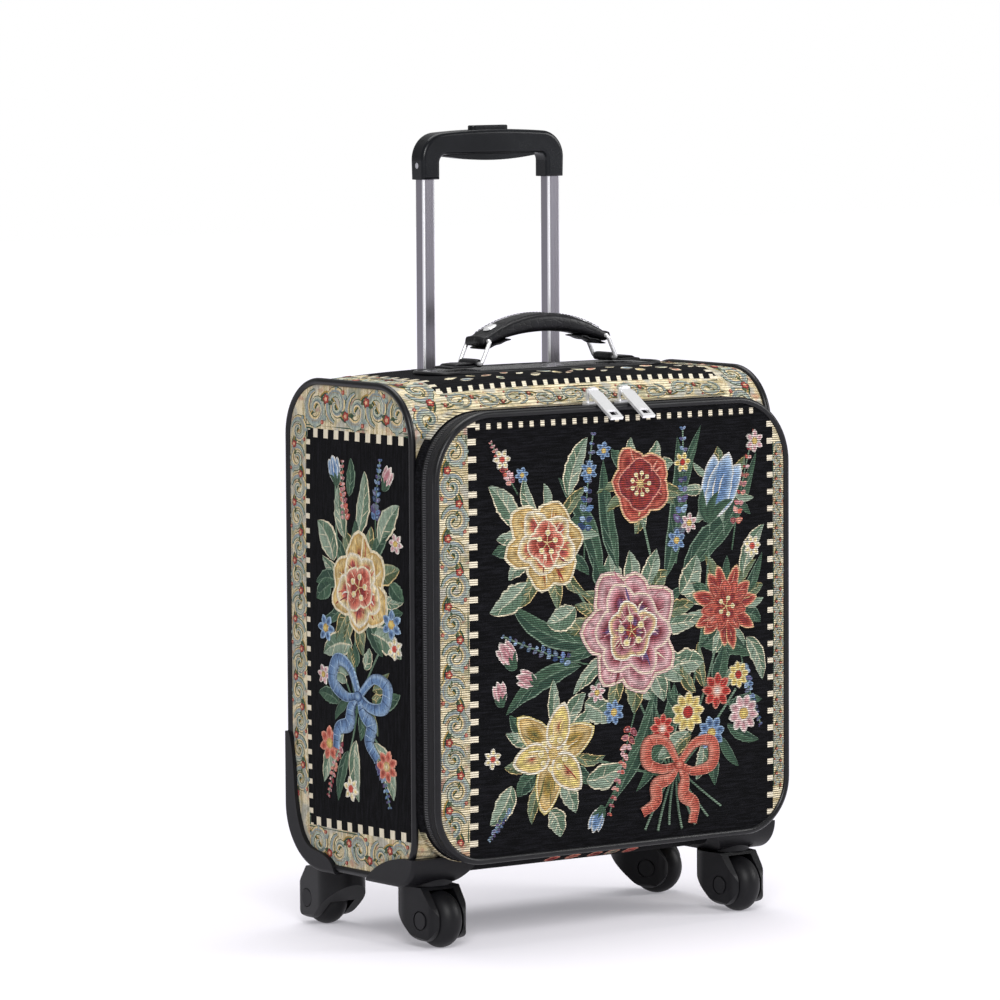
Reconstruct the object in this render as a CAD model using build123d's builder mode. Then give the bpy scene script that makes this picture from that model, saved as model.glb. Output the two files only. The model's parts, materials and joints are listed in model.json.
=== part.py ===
"""Carry-on suitcase with a telescopic trolley handle, a zipped front lid and four swivelling casters.

Millimetres. The origin is on the floor under the middle of the whole object.
+X is to the right seen from the front, +Y runs from the front to the back, +Z is up.
"""

import os
from math import acos, asin, cos, degrees, radians, sin

from build123d import *

os.makedirs("parts", exist_ok=True)

# Case body: a stiff board tub dressed in cloth, with cord piping round both ends
case_width = 379.0
case_depth = 180.0
case_height = 413.0
ground_clearance = 57.0
top_corner_radius = 47.0
rear_corner_radius = 50.0
front_corner_radius = 38.0
cloth_thickness = 2.5
board_thickness = 4.0
piping_radius = 3.0
seat_gap = 0.1
overrun = 5.0

# Front lid, its zip and the rim of the opening
lid_depth = 28.0
lid_side_inset = 3.5
lid_top_drop = 22.5
lid_rise = 18.0
lid_top_radius = 55.0
lid_bottom_radius = 45.0
opening_inset = 11.0
opening_reach = 45.0
rim_stand = 3.0
gusset_stand = 2.0
zip_stand = 1.5
zip_half_width = 5.0
parting_gap = 0.3
lid_lining_thickness = 2.0
hinge_tape_thickness = 1.0
hinge_tape_length = 240.0

# Zip sliders and pulls
slider_places = (-14.0, 20.0)
slider_length = 13.0
slider_width = 9.0
slider_thickness = 3.6
bridge_radius = 1.1
bridge_setback = 12.0
bridge_rise = 15.0
bridge_post = 2.0
pull_length = 41.0
pull_width = 13.0
pull_thickness = 2.4
pull_incline = 33.0
pull_window = 7.5
pull_window_margin = 3.5
pull_eye_radius = 2.6
pull_eye_width = 6.0
running_gap = 0.06

# Corner guards
guard_thickness = 5.0
guard_edge_radius = 3.5
guard_front_radius = 20.0
rear_guard_height = 111.0
rear_guard_length = 70.0
rear_guard_inset = 62.0
rear_guard_slope = 6.0
rear_guard_edge_shares = ((0.04, 1.0), (0.15, 0.6), (0.23, 0.33), (0.41, 0.155), (0.8, 0.085))
front_guard_length = 71.0
front_guard_height = 20.0
front_guard_inset = 68.0
front_guard_slope = 22.0
front_guard_edge_shares = ((0.72, 0.4), (0.35, 0.9))
caster_seat_radius = 23.5
caster_seat_height = 20.0

# Casters
swivel_side_inset = 29.5
swivel_inset = 28.0
caster_trail = 21.0
front_left_heading = -90.0
front_right_heading = -90.0
rear_left_heading = 90.0
rear_right_heading = -64.0
turret_radius = 22.0
turret_depth = 14.0
turret_gap = 0.4
fork_half_width = 19.0
cheek_radius = 18.0
cheek_corner_radius = 9.0
hood_edge_radius = 9.0
wheel_radius = 24.0
wheel_half_width = 11.0
wheel_hub_half_width = 12.2
wheel_hub_radius = 11.0
wheel_rim_radius = 17.0
wheel_web = 3.0
wheel_crown = 7.0
wheel_gap = 1.2
wheel_side_gap = 0.3
axle_radius = 3.0
axle_head_radius = 7.5
axle_head = 1.4
axle_recess_gap = 0.8
stem_radius = 4.5
stem_length = 20.0
bush_radius = 8.0
bush_length = 24.0

# Trolley handle
tube_spacing = 134.0
tube_back_offset = 31.0
tube_width = 13.0
tube_depth = 12.6
tube_corner_radius = 2.5
tube_wall = 1.3
tube_gap = 0.35
outer_tube_wall = 1.3
outer_tube_rise = 24.0
foot_height = 14.0
foot_margin = 4.0
collar_height = 4.0
collar_margin = 4.0
tube_overlap = 224.0
glide_height = 26.0
glide_collar = 8.0
glide_gap = 0.08

# Trolley grip
grip_rise = 188.0
grip_leg_length = 21.0
grip_bar_height = 21.0
grip_overhang = 9.5
grip_depth = 19.0
grip_leg_width = 19.5
grip_shoulder_radius = 23.0
grip_crown = 4.0
grip_inner_radius = 7.0
grip_leg_taper = 1.0
grip_edge_radius = 3.5
grip_socket_depth = 22.0
grip_pad_thickness = 2.0
grip_pad_length = 92.0
grip_pad_width = 12.0
grip_pad_bulge = 3.5
grip_pad_groove = 1.2
grip_pad_pitch = 4.0
button_length = 40.0
button_width = 9.0
button_proud = 3.5
button_travel = 4.0
button_gap = 0.3
rod_radius = 1.5
rod_channel = 5.0
rod_drop = 10.5
screw_radius = 2.6
screw_depth = 2.0
screw_rise = 12.0
lock_pin_radius = 2.2
lock_pin_length = 7.0
lock_pin_travel = 2.0

# Leather plate and carry handle on the top
plate_length = 250.0
plate_depth = 54.0
plate_height = 9.0
plate_corner_radius = 25.0
plate_edge_radius = 5.0
handle_back_offset = 102.0
ring_inset = 53.0
ring_length = 21.0
ring_lean = 26.0
ring_inner_width = 28.0
ring_wire_radius = 1.75
ring_corner_radius = 2.0
tab_length = 30.0
tab_thickness = 3.0
tab_loop_wall = 2.2
tab_width = 26.0
strap_width = 26.0
strap_rise = 45.0
strap_middle_thickness = 16.0
strap_end_thickness = 10.0
strap_loop_wall = 3.4
strap_fold_length = 26.0
strap_fold_thickness = 2.4
strap_slack = 0.9
rivet_radius = 4.6
rivet_shank_radius = 1.5
rivet_head = 1.2
rivet_taper = 30.0
rivet_share = 0.83
strap_end_share = 0.9

# Inside
lining_offset = 46.0
lining_thickness = 2.5

# Places worked out from the sizes above
lean = radians(pull_incline)
pull_front = pull_length * cos(lean) + pull_thickness / 2 * sin(lean) - bridge_setback
case_half = case_width / 2
caster_back = caster_trail + wheel_radius - swivel_inset
overall_depth = pull_front + lid_depth + case_depth + caster_back
back_y = overall_depth / 2 - caster_back
front_y = back_y - case_depth
lid_front_y = front_y - lid_depth
parting_y = lid_front_y + lid_depth / 2
floor_z = ground_clearance
top_z = floor_z + case_height
case_mid_y = (front_y + back_y) / 2
case_mid_z = (floor_z + top_z) / 2
shell_inset = cloth_thickness + board_thickness
lid_width = case_width - 2 * lid_side_inset
lid_height = case_height - lid_rise - lid_top_drop
lid_bottom_z = floor_z + lid_rise
lid_mid_z = lid_bottom_z + lid_height / 2
lid_top_z = lid_bottom_z + lid_height
wrap_half = case_half - piping_radius
cavity_front_y = front_y + opening_reach
rim_front_y = parting_y + zip_half_width
gusset_back_y = parting_y - zip_half_width
gusset_front_y = lid_front_y + piping_radius
tube_x = tube_spacing / 2
tube_y = back_y - tube_back_offset
handle_y = back_y - handle_back_offset
plate_top = top_z + plate_height
strap_top = plate_top + strap_rise
ring_spacing = plate_length - 2 * ring_inset
swivel_x = case_half - swivel_side_inset
swivel_ys = (front_y + swivel_inset, back_y - swivel_inset)
guard_bottom = floor_z - guard_thickness
outer_tube_bottom = floor_z + outer_tube_rise
inner_tube_bottom = top_z - tube_overlap
grip_width = tube_spacing + 2 * grip_overhang
grip_bar_underside = top_z + grip_rise
grip_leg_bottom = grip_bar_underside - grip_leg_length
grip_top = grip_bar_underside + grip_bar_height
outer_width = tube_width + 2 * (tube_gap + outer_tube_wall)
outer_depth = tube_depth + 2 * (tube_gap + outer_tube_wall)
bore_width = tube_width + 2 * tube_gap
bore_depth = tube_depth + 2 * tube_gap
bore_corner = tube_corner_radius + tube_gap


def side_profile(inset, x, front_radius=front_corner_radius):
    """Outline of the case seen from its end, inset from the piping centreline, on the plane at x."""
    with BuildSketch(Plane.YZ.offset(x)) as outline:
        with Locations((case_mid_y, case_mid_z)):
            Rectangle(case_depth - 2 * inset, case_height - 2 * inset)
        fillet(outline.vertices().group_by(Axis.Y)[-1], top_corner_radius - inset)
        fillet(outline.vertices().group_by(Axis.Y)[0].sort_by(Axis.X)[-1], rear_corner_radius - inset)
        fillet(outline.vertices().group_by(Axis.Y)[0].sort_by(Axis.X)[0], front_radius - inset)
    return outline.sketch


def lid_outline(stand, y):
    """Outline of the lid seen from the front, standing out from the piping centreline, on the plane at y."""
    with BuildSketch(Plane.XZ.offset(-y)) as outline:
        with Locations((0, lid_mid_z)):
            Rectangle(lid_width + 2 * stand, lid_height + 2 * stand)
        fillet(outline.vertices().group_by(Axis.Y)[-1], lid_top_radius + stand)
        fillet(outline.vertices().group_by(Axis.Y)[0], lid_bottom_radius + stand)
    return outline.sketch


def tube_sections(width, depth, radius, z, sides=(-1, 1)):
    """Rounded rectangles at the trolley tubes, on the level z."""
    with BuildSketch(Plane.XY.offset(z)) as sections:
        with Locations([(side * tube_x, tube_y) for side in sides]):
            RectangleRounded(width, depth, radius)
    return sections.sketch


def swivel_circles(radius, z):
    """Circles at the four caster swivels, on the level z."""
    with BuildSketch(Plane.XY.offset(z)) as circles:
        with Locations([(side * swivel_x, y) for side in (-1, 1) for y in swivel_ys]):
            Circle(radius)
    return circles.sketch


def write(piece, name):
    """Label a finished piece and write its file."""
    piece.part.label = name
    export_step(piece.part, f"parts/{name}.step")


# Board shell: the bent band that carries everything, open at the front, and the boards that close its ends
inner_half = case_half - shell_inset
with BuildPart() as board_shell:
    extrude(side_profile(cloth_thickness, -inner_half), amount=2 * inner_half)
    extrude(side_profile(shell_inset, -case_half), amount=case_width, mode=Mode.SUBTRACT)
    extrude(
        lid_outline(-opening_inset, cavity_front_y),
        amount=opening_reach + overrun,
        mode=Mode.SUBTRACT,
    )
    extrude(
        tube_sections(bore_width, bore_depth, bore_corner, top_z - top_corner_radius),
        amount=top_corner_radius + overrun,
        mode=Mode.SUBTRACT,
    )
    extrude(
        swivel_circles(bush_radius + seat_gap, guard_bottom),
        amount=bush_length + overrun,
        mode=Mode.SUBTRACT,
    )
write(board_shell, "board_shell")

for side, word in ((-1, "left"), (1, "right")):
    with BuildPart() as end_board:
        extrude(side_profile(cloth_thickness, side * inner_half), amount=side * board_thickness)
    write(end_board, f"{word}_end_board")

# Wrap panel: the cloth band over the top, back and bottom, and the strips beside the lid
with BuildPart() as wrap_panel:
    extrude(side_profile(0, -wrap_half), amount=2 * wrap_half)
    extrude(side_profile(cloth_thickness, -case_half), amount=case_width, mode=Mode.SUBTRACT)
    extrude(
        lid_outline(-opening_inset, cavity_front_y),
        amount=opening_reach + overrun,
        mode=Mode.SUBTRACT,
    )
    extrude(
        tube_sections(bore_width, bore_depth, bore_corner, top_z - top_corner_radius),
        amount=top_corner_radius + overrun,
        mode=Mode.SUBTRACT,
    )
    extrude(
        swivel_circles(bush_radius + seat_gap, guard_bottom),
        amount=bush_length + overrun,
        mode=Mode.SUBTRACT,
    )
write(wrap_panel, "wrap_panel")

# End panels and the piping round them
for side, word in ((-1, "left"), (1, "right")):
    face_x = side * case_half
    with BuildPart() as end_panel:
        extrude(side_profile(piping_radius, face_x), amount=-side * cloth_thickness)
    write(end_panel, f"{word}_end_panel")
    with BuildPart() as end_piping:
        seam = side_profile(0, face_x).face().outer_wire()
        with BuildSketch(Plane(origin=seam @ 0, z_dir=seam % 0)):
            Circle(piping_radius)
        sweep(path=seam)
    write(end_piping, f"{word}_end_piping")

# Front rim: the cloth border that carries the zip round the opening
with BuildPart() as front_rim:
    extrude(lid_outline(rim_stand, cavity_front_y), amount=cavity_front_y - rim_front_y)
    extrude(
        lid_outline(-opening_inset, cavity_front_y + overrun),
        amount=cavity_front_y - rim_front_y + 2 * overrun,
        mode=Mode.SUBTRACT,
    )
    extrude(
        side_profile(-seat_gap, -case_half - piping_radius),
        amount=case_width + 2 * piping_radius,
        mode=Mode.SUBTRACT,
    )
    for face_x in (-case_half, case_half):
        seam = side_profile(0, face_x).face().outer_wire()
        with BuildSketch(Plane(origin=seam @ 0, z_dir=seam % 0)):
            Circle(piping_radius + seat_gap)
        sweep(path=seam, mode=Mode.SUBTRACT)
write(front_rim, "front_rim")

# Zip halves, one on the case and one on the lid
zip_halves = (
    ("case_zip_half", rim_front_y, parting_y + parting_gap / 2),
    ("lid_zip_half", parting_y - parting_gap / 2, gusset_back_y),
)
for name, rear, front in zip_halves:
    with BuildPart() as zip_half:
        extrude(lid_outline(zip_stand, rear), amount=rear - front)
        extrude(
            lid_outline(-opening_inset, rear + overrun),
            amount=rear - front + 2 * overrun,
            mode=Mode.SUBTRACT,
        )
    write(zip_half, name)

# Lid: gusset, panel, piping and lining
with BuildPart() as lid_gusset:
    extrude(lid_outline(gusset_stand, gusset_back_y), amount=gusset_back_y - gusset_front_y)
    extrude(
        lid_outline(-opening_inset, gusset_back_y + overrun),
        amount=gusset_back_y - gusset_front_y + 2 * overrun,
        mode=Mode.SUBTRACT,
    )
write(lid_gusset, "lid_gusset")

with BuildPart() as lid_panel:
    extrude(lid_outline(-piping_radius, gusset_front_y), amount=piping_radius)
write(lid_panel, "lid_panel")

with BuildPart() as lid_piping:
    seam = lid_outline(0, lid_front_y).face().outer_wire()
    with BuildSketch(Plane(origin=seam @ 0, z_dir=seam % 0)):
        Circle(piping_radius)
    sweep(path=seam)
write(lid_piping, "lid_piping")

with BuildPart() as lid_lining:
    extrude(
        lid_outline(-opening_inset - seat_gap, gusset_front_y + lid_lining_thickness),
        amount=lid_lining_thickness,
    )
write(lid_lining, "lid_lining")

# Hinge tape under the rim, where the lid folds down
hinge_z = lid_bottom_z - zip_stand - hinge_tape_thickness / 2
with BuildPart() as hinge_tape:
    with BuildSketch(Plane.XZ.offset(-rim_front_y)):
        with Locations((0, hinge_z)):
            Rectangle(hinge_tape_length, hinge_tape_thickness)
    extrude(amount=zip_half_width - parting_gap)
write(hinge_tape, "hinge_tape")

# Zip sliders with a bridge, and the flat pulls that hang from it over the lid's edge
zip_top = lid_top_z + zip_stand
bridge_y = lid_front_y + bridge_setback
bridge_z = lid_top_z + bridge_rise
slider_bottom = zip_top + parting_gap
for place, word in zip(slider_places, ("left", "right")):
    with BuildPart() as slider:
        with BuildSketch(Plane.XY.offset(slider_bottom)):
            with Locations((place, parting_y)):
                RectangleRounded(slider_length, slider_width, slider_width / 4)
        extrude(amount=slider_thickness)
        fillet(slider.faces().sort_by(Axis.Z)[-1].edges(), slider_thickness / 4)
        with BuildSketch(Plane.YZ.offset(place - slider_length / 2 + bridge_post / 4)):
            with Locations((bridge_y, bridge_z)):
                Circle(bridge_radius)
        extrude(amount=slider_length - bridge_post / 2)
        post_places = (slider_length - bridge_post) / 2 - bridge_post / 4
        with BuildSketch(Plane.XY.offset(slider_bottom + slider_thickness / 2)):
            with Locations((place - post_places, bridge_y), (place + post_places, bridge_y)):
                Rectangle(bridge_post, 2 * bridge_radius)
        extrude(amount=bridge_z - slider_bottom - slider_thickness / 2)
    write(slider, f"{word}_zip_slider")

    # The pull lies in a plane tipped down towards the front
    pull_plane = Plane(
        origin=(place, bridge_y, bridge_z),
        x_dir=(1, 0, 0),
        z_dir=(0, -sin(lean), cos(lean)),
    )
    with BuildPart() as pull:
        with BuildSketch(pull_plane.offset(-pull_thickness / 2)):
            with BuildLine():
                Polyline(
                    (-pull_eye_width / 2, 0),
                    (pull_eye_width / 2, 0),
                    (pull_width / 2, -pull_width / 2),
                    (pull_width / 2, -pull_length),
                    (-pull_width / 2, -pull_length),
                    (-pull_width / 2, -pull_width / 2),
                    close=True,
                )
            make_face()
            with Locations((0, -pull_length + pull_window_margin + pull_window / 2)):
                Rectangle(pull_window, pull_window, mode=Mode.SUBTRACT)
        extrude(amount=pull_thickness)
        with BuildSketch(Plane.YZ.offset(place - pull_eye_width / 2)):
            with Locations((bridge_y, bridge_z)):
                Circle(pull_eye_radius)
        extrude(amount=pull_eye_width)
        with BuildSketch(Plane.YZ.offset(place - pull_width)):
            with Locations((bridge_y, bridge_z)):
                Circle(bridge_radius + running_gap)
        extrude(amount=2 * pull_width, mode=Mode.SUBTRACT)
    write(pull, f"{word}_zip_pull")

# Corner guards: moulded shells round the bottom corners, with a channel for the piping and a caster seat
def rear_guard_region(x):
    """What a rear guard covers, seen from the end: a tall back edge that sweeps round to the bottom."""
    low = guard_bottom - overrun
    back = back_y + guard_thickness + overrun
    points = [
        (back_y - rear_guard_length * along, floor_z + rear_guard_height * up)
        for along, up in rear_guard_edge_shares
    ]
    with BuildSketch(Plane.YZ.offset(x)) as region:
        with BuildLine():
            edge = Spline(*points, (back_y - rear_guard_length, low))
            Polyline(edge @ 1, (back, low), (back, floor_z + rear_guard_height), edge @ 0)
        make_face()
    return region.sketch


def front_guard_region(x):
    """What a front guard covers, seen from the end: a low wedge that rises to the front."""
    low = guard_bottom - overrun
    front = front_y - guard_thickness - overrun
    points = [
        (front_y + front_guard_length * along, floor_z + front_guard_height * up)
        for along, up in front_guard_edge_shares
    ]
    with BuildSketch(Plane.YZ.offset(x)) as region:
        with BuildLine():
            edge = Spline(
                (front_y + front_guard_length, low), *points, (front, floor_z + front_guard_height)
            )
            Polyline(edge @ 1, (front, low), edge @ 0)
        make_face()
    return region.sketch


guard_half = case_half + guard_thickness
guards = (
    ("rear", rear_guard_region, rear_guard_inset, rear_guard_slope, rear_guard_height),
    ("front", front_guard_region, front_guard_inset, front_guard_slope, front_guard_height),
)
for where, region, inset, slope, height in guards:
    with BuildPart() as left_guard:
        extrude(side_profile(-guard_thickness, -guard_half, guard_front_radius), amount=guard_half)
        fillet(left_guard.faces().sort_by(Axis.X)[0].edges(), guard_edge_radius)
        extrude(swivel_circles(caster_seat_radius, guard_bottom), amount=caster_seat_height)
        extrude(side_profile(-seat_gap, -case_half - seat_gap), amount=case_width, mode=Mode.SUBTRACT)
        seam = side_profile(0, -case_half).face().outer_wire()
        with BuildSketch(Plane(origin=seam @ 0, z_dir=seam % 0)):
            Circle(piping_radius + seat_gap)
        sweep(path=seam, mode=Mode.SUBTRACT)
        extrude(region(-guard_half - overrun), amount=inset + guard_thickness + overrun, mode=Mode.INTERSECT)
        # Slanted inner end, shorter at the bottom
        with BuildSketch(Plane.XZ):
            with BuildLine():
                Polyline(
                    (-guard_half - overrun, guard_bottom),
                    (inset - case_half - slope, guard_bottom),
                    (inset - case_half, floor_z + height),
                    (-guard_half - overrun, floor_z + height),
                    close=True,
                )
            make_face()
        extrude(amount=overall_depth, both=True, mode=Mode.INTERSECT)
        extrude(
            lid_outline(rim_stand + seat_gap, cavity_front_y),
            amount=opening_reach + lid_depth,
            mode=Mode.SUBTRACT,
        )
        extrude(
            swivel_circles(bush_radius + seat_gap, guard_bottom - overrun),
            amount=caster_seat_height + 2 * overrun,
            mode=Mode.SUBTRACT,
        )
    write(left_guard, f"left_{where}_guard")
    with BuildPart() as right_guard:
        mirror(left_guard.part, about=Plane.YZ)
    write(right_guard, f"right_{where}_guard")

# Caster bushes: sleeves through the guard, the cloth and the board
with BuildPart() as caster_bushes:
    extrude(swivel_circles(bush_radius, guard_bottom), amount=bush_length)
    extrude(
        swivel_circles(stem_radius + running_gap, guard_bottom - overrun),
        amount=bush_length + 2 * overrun,
        mode=Mode.SUBTRACT,
    )
write(caster_bushes, "caster_bushes")

# Casters: a hooded fork on a stem, a crowned wheel and an axle with round heads
casters = (
    ("front_left", -swivel_x, swivel_ys[0], front_left_heading),
    ("front_right", swivel_x, swivel_ys[0], front_right_heading),
    ("rear_left", -swivel_x, swivel_ys[1], rear_left_heading),
    ("rear_right", swivel_x, swivel_ys[1], rear_right_heading),
)
turret_top = guard_bottom - turret_gap
turret_bottom = turret_top - turret_depth
hood_bottom = wheel_radius - cheek_radius
well_half_width = wheel_hub_half_width + wheel_side_gap
for corner, x, y, heading in casters:
    trail_x = cos(radians(heading))
    trail_y = sin(radians(heading))
    side_plane = Plane(origin=(x, y, 0), x_dir=(trail_x, trail_y, 0), z_dir=(trail_y, -trail_x, 0))
    plan_plane = Plane(origin=(x, y, 0), x_dir=(trail_x, trail_y, 0), z_dir=(0, 0, 1))
    front_plane = Plane(
        origin=(x, y, hood_bottom),
        x_dir=(-trail_y, trail_x, 0),
        z_dir=(trail_x, trail_y, 0),
    )
    with BuildPart() as fork:
        with BuildSketch(side_plane):
            with Locations((0, (turret_bottom + turret_top) / 2)):
                Rectangle(2 * turret_radius, turret_depth)
            with Locations((caster_trail, wheel_radius)):
                Circle(cheek_radius)
            make_hull()
        extrude(amount=turret_radius, both=True)
        with BuildSketch(plan_plane):
            Circle(turret_radius)
            corner_x = caster_trail + cheek_radius - cheek_corner_radius
            corner_y = fork_half_width - cheek_corner_radius
            with Locations((corner_x, -corner_y), (corner_x, corner_y)):
                Circle(cheek_corner_radius)
            make_hull()
        extrude(amount=turret_top, mode=Mode.INTERSECT)
        with BuildSketch(front_plane) as hood:
            Rectangle(2 * turret_radius, turret_top - hood_bottom, align=(Align.CENTER, Align.MIN))
            fillet(hood.vertices().group_by(Axis.Y)[0], hood_edge_radius)
        extrude(amount=caster_trail + cheek_radius, both=True, mode=Mode.INTERSECT)
        with BuildSketch(side_plane):
            with Locations((caster_trail, wheel_radius)):
                Circle(wheel_radius + wheel_gap)
                Rectangle(
                    2 * (wheel_radius + wheel_gap),
                    wheel_radius + overrun,
                    align=(Align.CENTER, Align.MAX),
                )
        extrude(amount=well_half_width, both=True, mode=Mode.SUBTRACT)
        with BuildSketch(side_plane):
            with Locations((caster_trail, wheel_radius)):
                Circle(axle_radius)
        extrude(amount=2 * turret_radius, both=True, mode=Mode.SUBTRACT)
        for outward in (-1, 1):
            with BuildSketch(side_plane.offset(outward * fork_half_width)):
                with Locations((caster_trail, wheel_radius)):
                    Circle(axle_head_radius + axle_recess_gap)
            extrude(amount=outward * turret_radius, mode=Mode.SUBTRACT)
        with BuildSketch(plan_plane.offset(turret_top)):
            Circle(stem_radius)
        extrude(amount=stem_length)
    write(fork, f"{corner}_fork")

    hub_plane = Plane(
        origin=(x + caster_trail * trail_x, y + caster_trail * trail_y, wheel_radius),
        x_dir=(trail_y, -trail_x, 0),
        z_dir=(trail_x, trail_y, 0),
    )
    spin_axis = Axis(hub_plane.origin, hub_plane.x_dir)
    with BuildPart() as wheel:
        with BuildSketch(hub_plane):
            with BuildLine():
                crown_start = wheel_radius - wheel_crown
                right = Polyline(
                    (0, axle_radius + running_gap),
                    (wheel_hub_half_width, axle_radius + running_gap),
                    (wheel_hub_half_width, wheel_hub_radius),
                    (wheel_web, wheel_hub_radius),
                    (wheel_web, wheel_rim_radius - wheel_web),
                    (wheel_half_width, wheel_rim_radius - wheel_web),
                    (wheel_half_width, crown_start),
                )
                SagittaArc(right @ 1, (-wheel_half_width, crown_start), -wheel_crown)
                mirror(right, about=Plane.YZ)
            make_face()
        revolve(axis=spin_axis)
    write(wheel, f"{corner}_wheel")

    with BuildPart() as axle:
        with BuildSketch(side_plane.offset(-fork_half_width)):
            with Locations((caster_trail, wheel_radius)):
                Circle(axle_radius)
        extrude(amount=2 * fork_half_width)
        for outward in (-1, 1):
            with BuildSketch(side_plane.offset(outward * fork_half_width)):
                with Locations((caster_trail, wheel_radius)):
                    Circle(axle_head_radius)
            extrude(amount=outward * axle_head)
        fillet(axle.edges().filter_by(GeomType.CIRCLE).group_by(SortBy.RADIUS)[-1], axle_head / 3)
    write(axle, f"{corner}_axle")

# Back lining panel: hides the trolley tubes from the packing space
with BuildPart() as back_lining:
    lining_half = inner_half - seat_gap
    extrude(side_profile(shell_inset + seat_gap, -lining_half), amount=2 * lining_half)
    with Locations((0, back_y - lining_offset, case_mid_z)):
        Box(case_width, lining_thickness, case_height, mode=Mode.INTERSECT)
write(back_lining, "back_lining")

# Outer tubes, fixed in the case, with their foot and collars
outer_corner = bore_corner + outer_tube_wall
for side, word in ((-1, "left"), (1, "right")):
    with BuildPart() as outer_tube:
        length = top_z - outer_tube_bottom
        extrude(
            tube_sections(outer_width, outer_depth, outer_corner, outer_tube_bottom, (side,)),
            amount=length,
        )
        extrude(
            tube_sections(bore_width, bore_depth, bore_corner, outer_tube_bottom - overrun, (side,)),
            amount=length + 2 * overrun,
            mode=Mode.SUBTRACT,
        )
        extrude(side_profile(shell_inset + seat_gap, -case_half), amount=case_width, mode=Mode.INTERSECT)
    write(outer_tube, f"{word}_outer_tube")

with BuildPart() as tube_foot:
    foot_bottom = floor_z + shell_inset
    with BuildSketch(Plane.XY.offset(foot_bottom)):
        with Locations((0, tube_y)):
            RectangleRounded(
                tube_spacing + outer_width + 2 * foot_margin,
                outer_depth + 2 * foot_margin,
                outer_corner + foot_margin,
            )
    extrude(amount=outer_tube_bottom + foot_height - foot_bottom)
    extrude(side_profile(shell_inset + seat_gap, -case_half), amount=case_width, mode=Mode.INTERSECT)
    extrude(
        tube_sections(
            outer_width + 2 * seat_gap,
            outer_depth + 2 * seat_gap,
            outer_corner,
            outer_tube_bottom,
        ),
        amount=foot_height + overrun,
        mode=Mode.SUBTRACT,
    )
write(tube_foot, "tube_foot")

with BuildPart() as tube_collars:
    collar_bottom = top_z - top_corner_radius / 2
    extrude(
        tube_sections(
            outer_width + 2 * collar_margin,
            outer_depth + 2 * collar_margin,
            outer_corner + collar_margin / 2,
            collar_bottom,
        ),
        amount=top_z + collar_height - collar_bottom,
    )
    fillet(tube_collars.faces().filter_by(Axis.Z).group_by(Axis.Z)[-1].edges(), collar_margin / 2)
    extrude(side_profile(-seat_gap, -case_half), amount=case_width, mode=Mode.SUBTRACT)
    extrude(
        tube_sections(bore_width, bore_depth, bore_corner, collar_bottom - overrun),
        amount=top_z + collar_height - collar_bottom + 2 * overrun,
        mode=Mode.SUBTRACT,
    )
write(tube_collars, "tube_collars")

# Inner tubes that slide in them, each with a glide at its lower end
socket_top = grip_leg_bottom + grip_socket_depth
inner_corner = tube_corner_radius - tube_wall
for side, word in ((-1, "left"), (1, "right")):
    with BuildPart() as inner_tube:
        length = socket_top - inner_tube_bottom
        extrude(
            tube_sections(tube_width, tube_depth, tube_corner_radius, inner_tube_bottom, (side,)),
            amount=length,
        )
        extrude(
            tube_sections(
                tube_width - 2 * tube_wall,
                tube_depth - 2 * tube_wall,
                inner_corner,
                inner_tube_bottom - overrun,
                (side,),
            ),
            amount=length + 2 * overrun,
            mode=Mode.SUBTRACT,
        )
    write(inner_tube, f"{word}_inner_tube")

glide_bottom = inner_tube_bottom - glide_collar
pin_z = glide_bottom + glide_collar / 2
pin_front_y = tube_y - bore_depth / 2 + glide_gap
with BuildPart() as tube_glides:
    extrude(
        tube_sections(
            bore_width - 2 * glide_gap,
            bore_depth - 2 * glide_gap,
            bore_corner - glide_gap,
            glide_bottom,
        ),
        amount=glide_collar,
    )
    extrude(
        tube_sections(
            tube_width - 2 * (tube_wall + seat_gap),
            tube_depth - 2 * (tube_wall + seat_gap),
            inner_corner - seat_gap,
            inner_tube_bottom,
        ),
        amount=glide_height - glide_collar,
    )
    with BuildSketch(Plane.XZ.offset(overrun - pin_front_y)):
        with Locations((-tube_x, pin_z), (tube_x, pin_z)):
            Circle(lock_pin_radius + running_gap)
    extrude(amount=-(overrun + lock_pin_length + lock_pin_travel + seat_gap), mode=Mode.SUBTRACT)
    extrude(
        tube_sections(rod_channel, rod_channel, rod_radius, pin_z),
        amount=glide_height,
        mode=Mode.SUBTRACT,
    )
write(tube_glides, "tube_glides")

with BuildPart() as lock_pins:
    with BuildSketch(Plane.XZ.offset(-pin_front_y)):
        with Locations((-tube_x, pin_z), (tube_x, pin_z)):
            Circle(lock_pin_radius)
    extrude(amount=-lock_pin_length)
write(lock_pins, "lock_pins")

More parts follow.
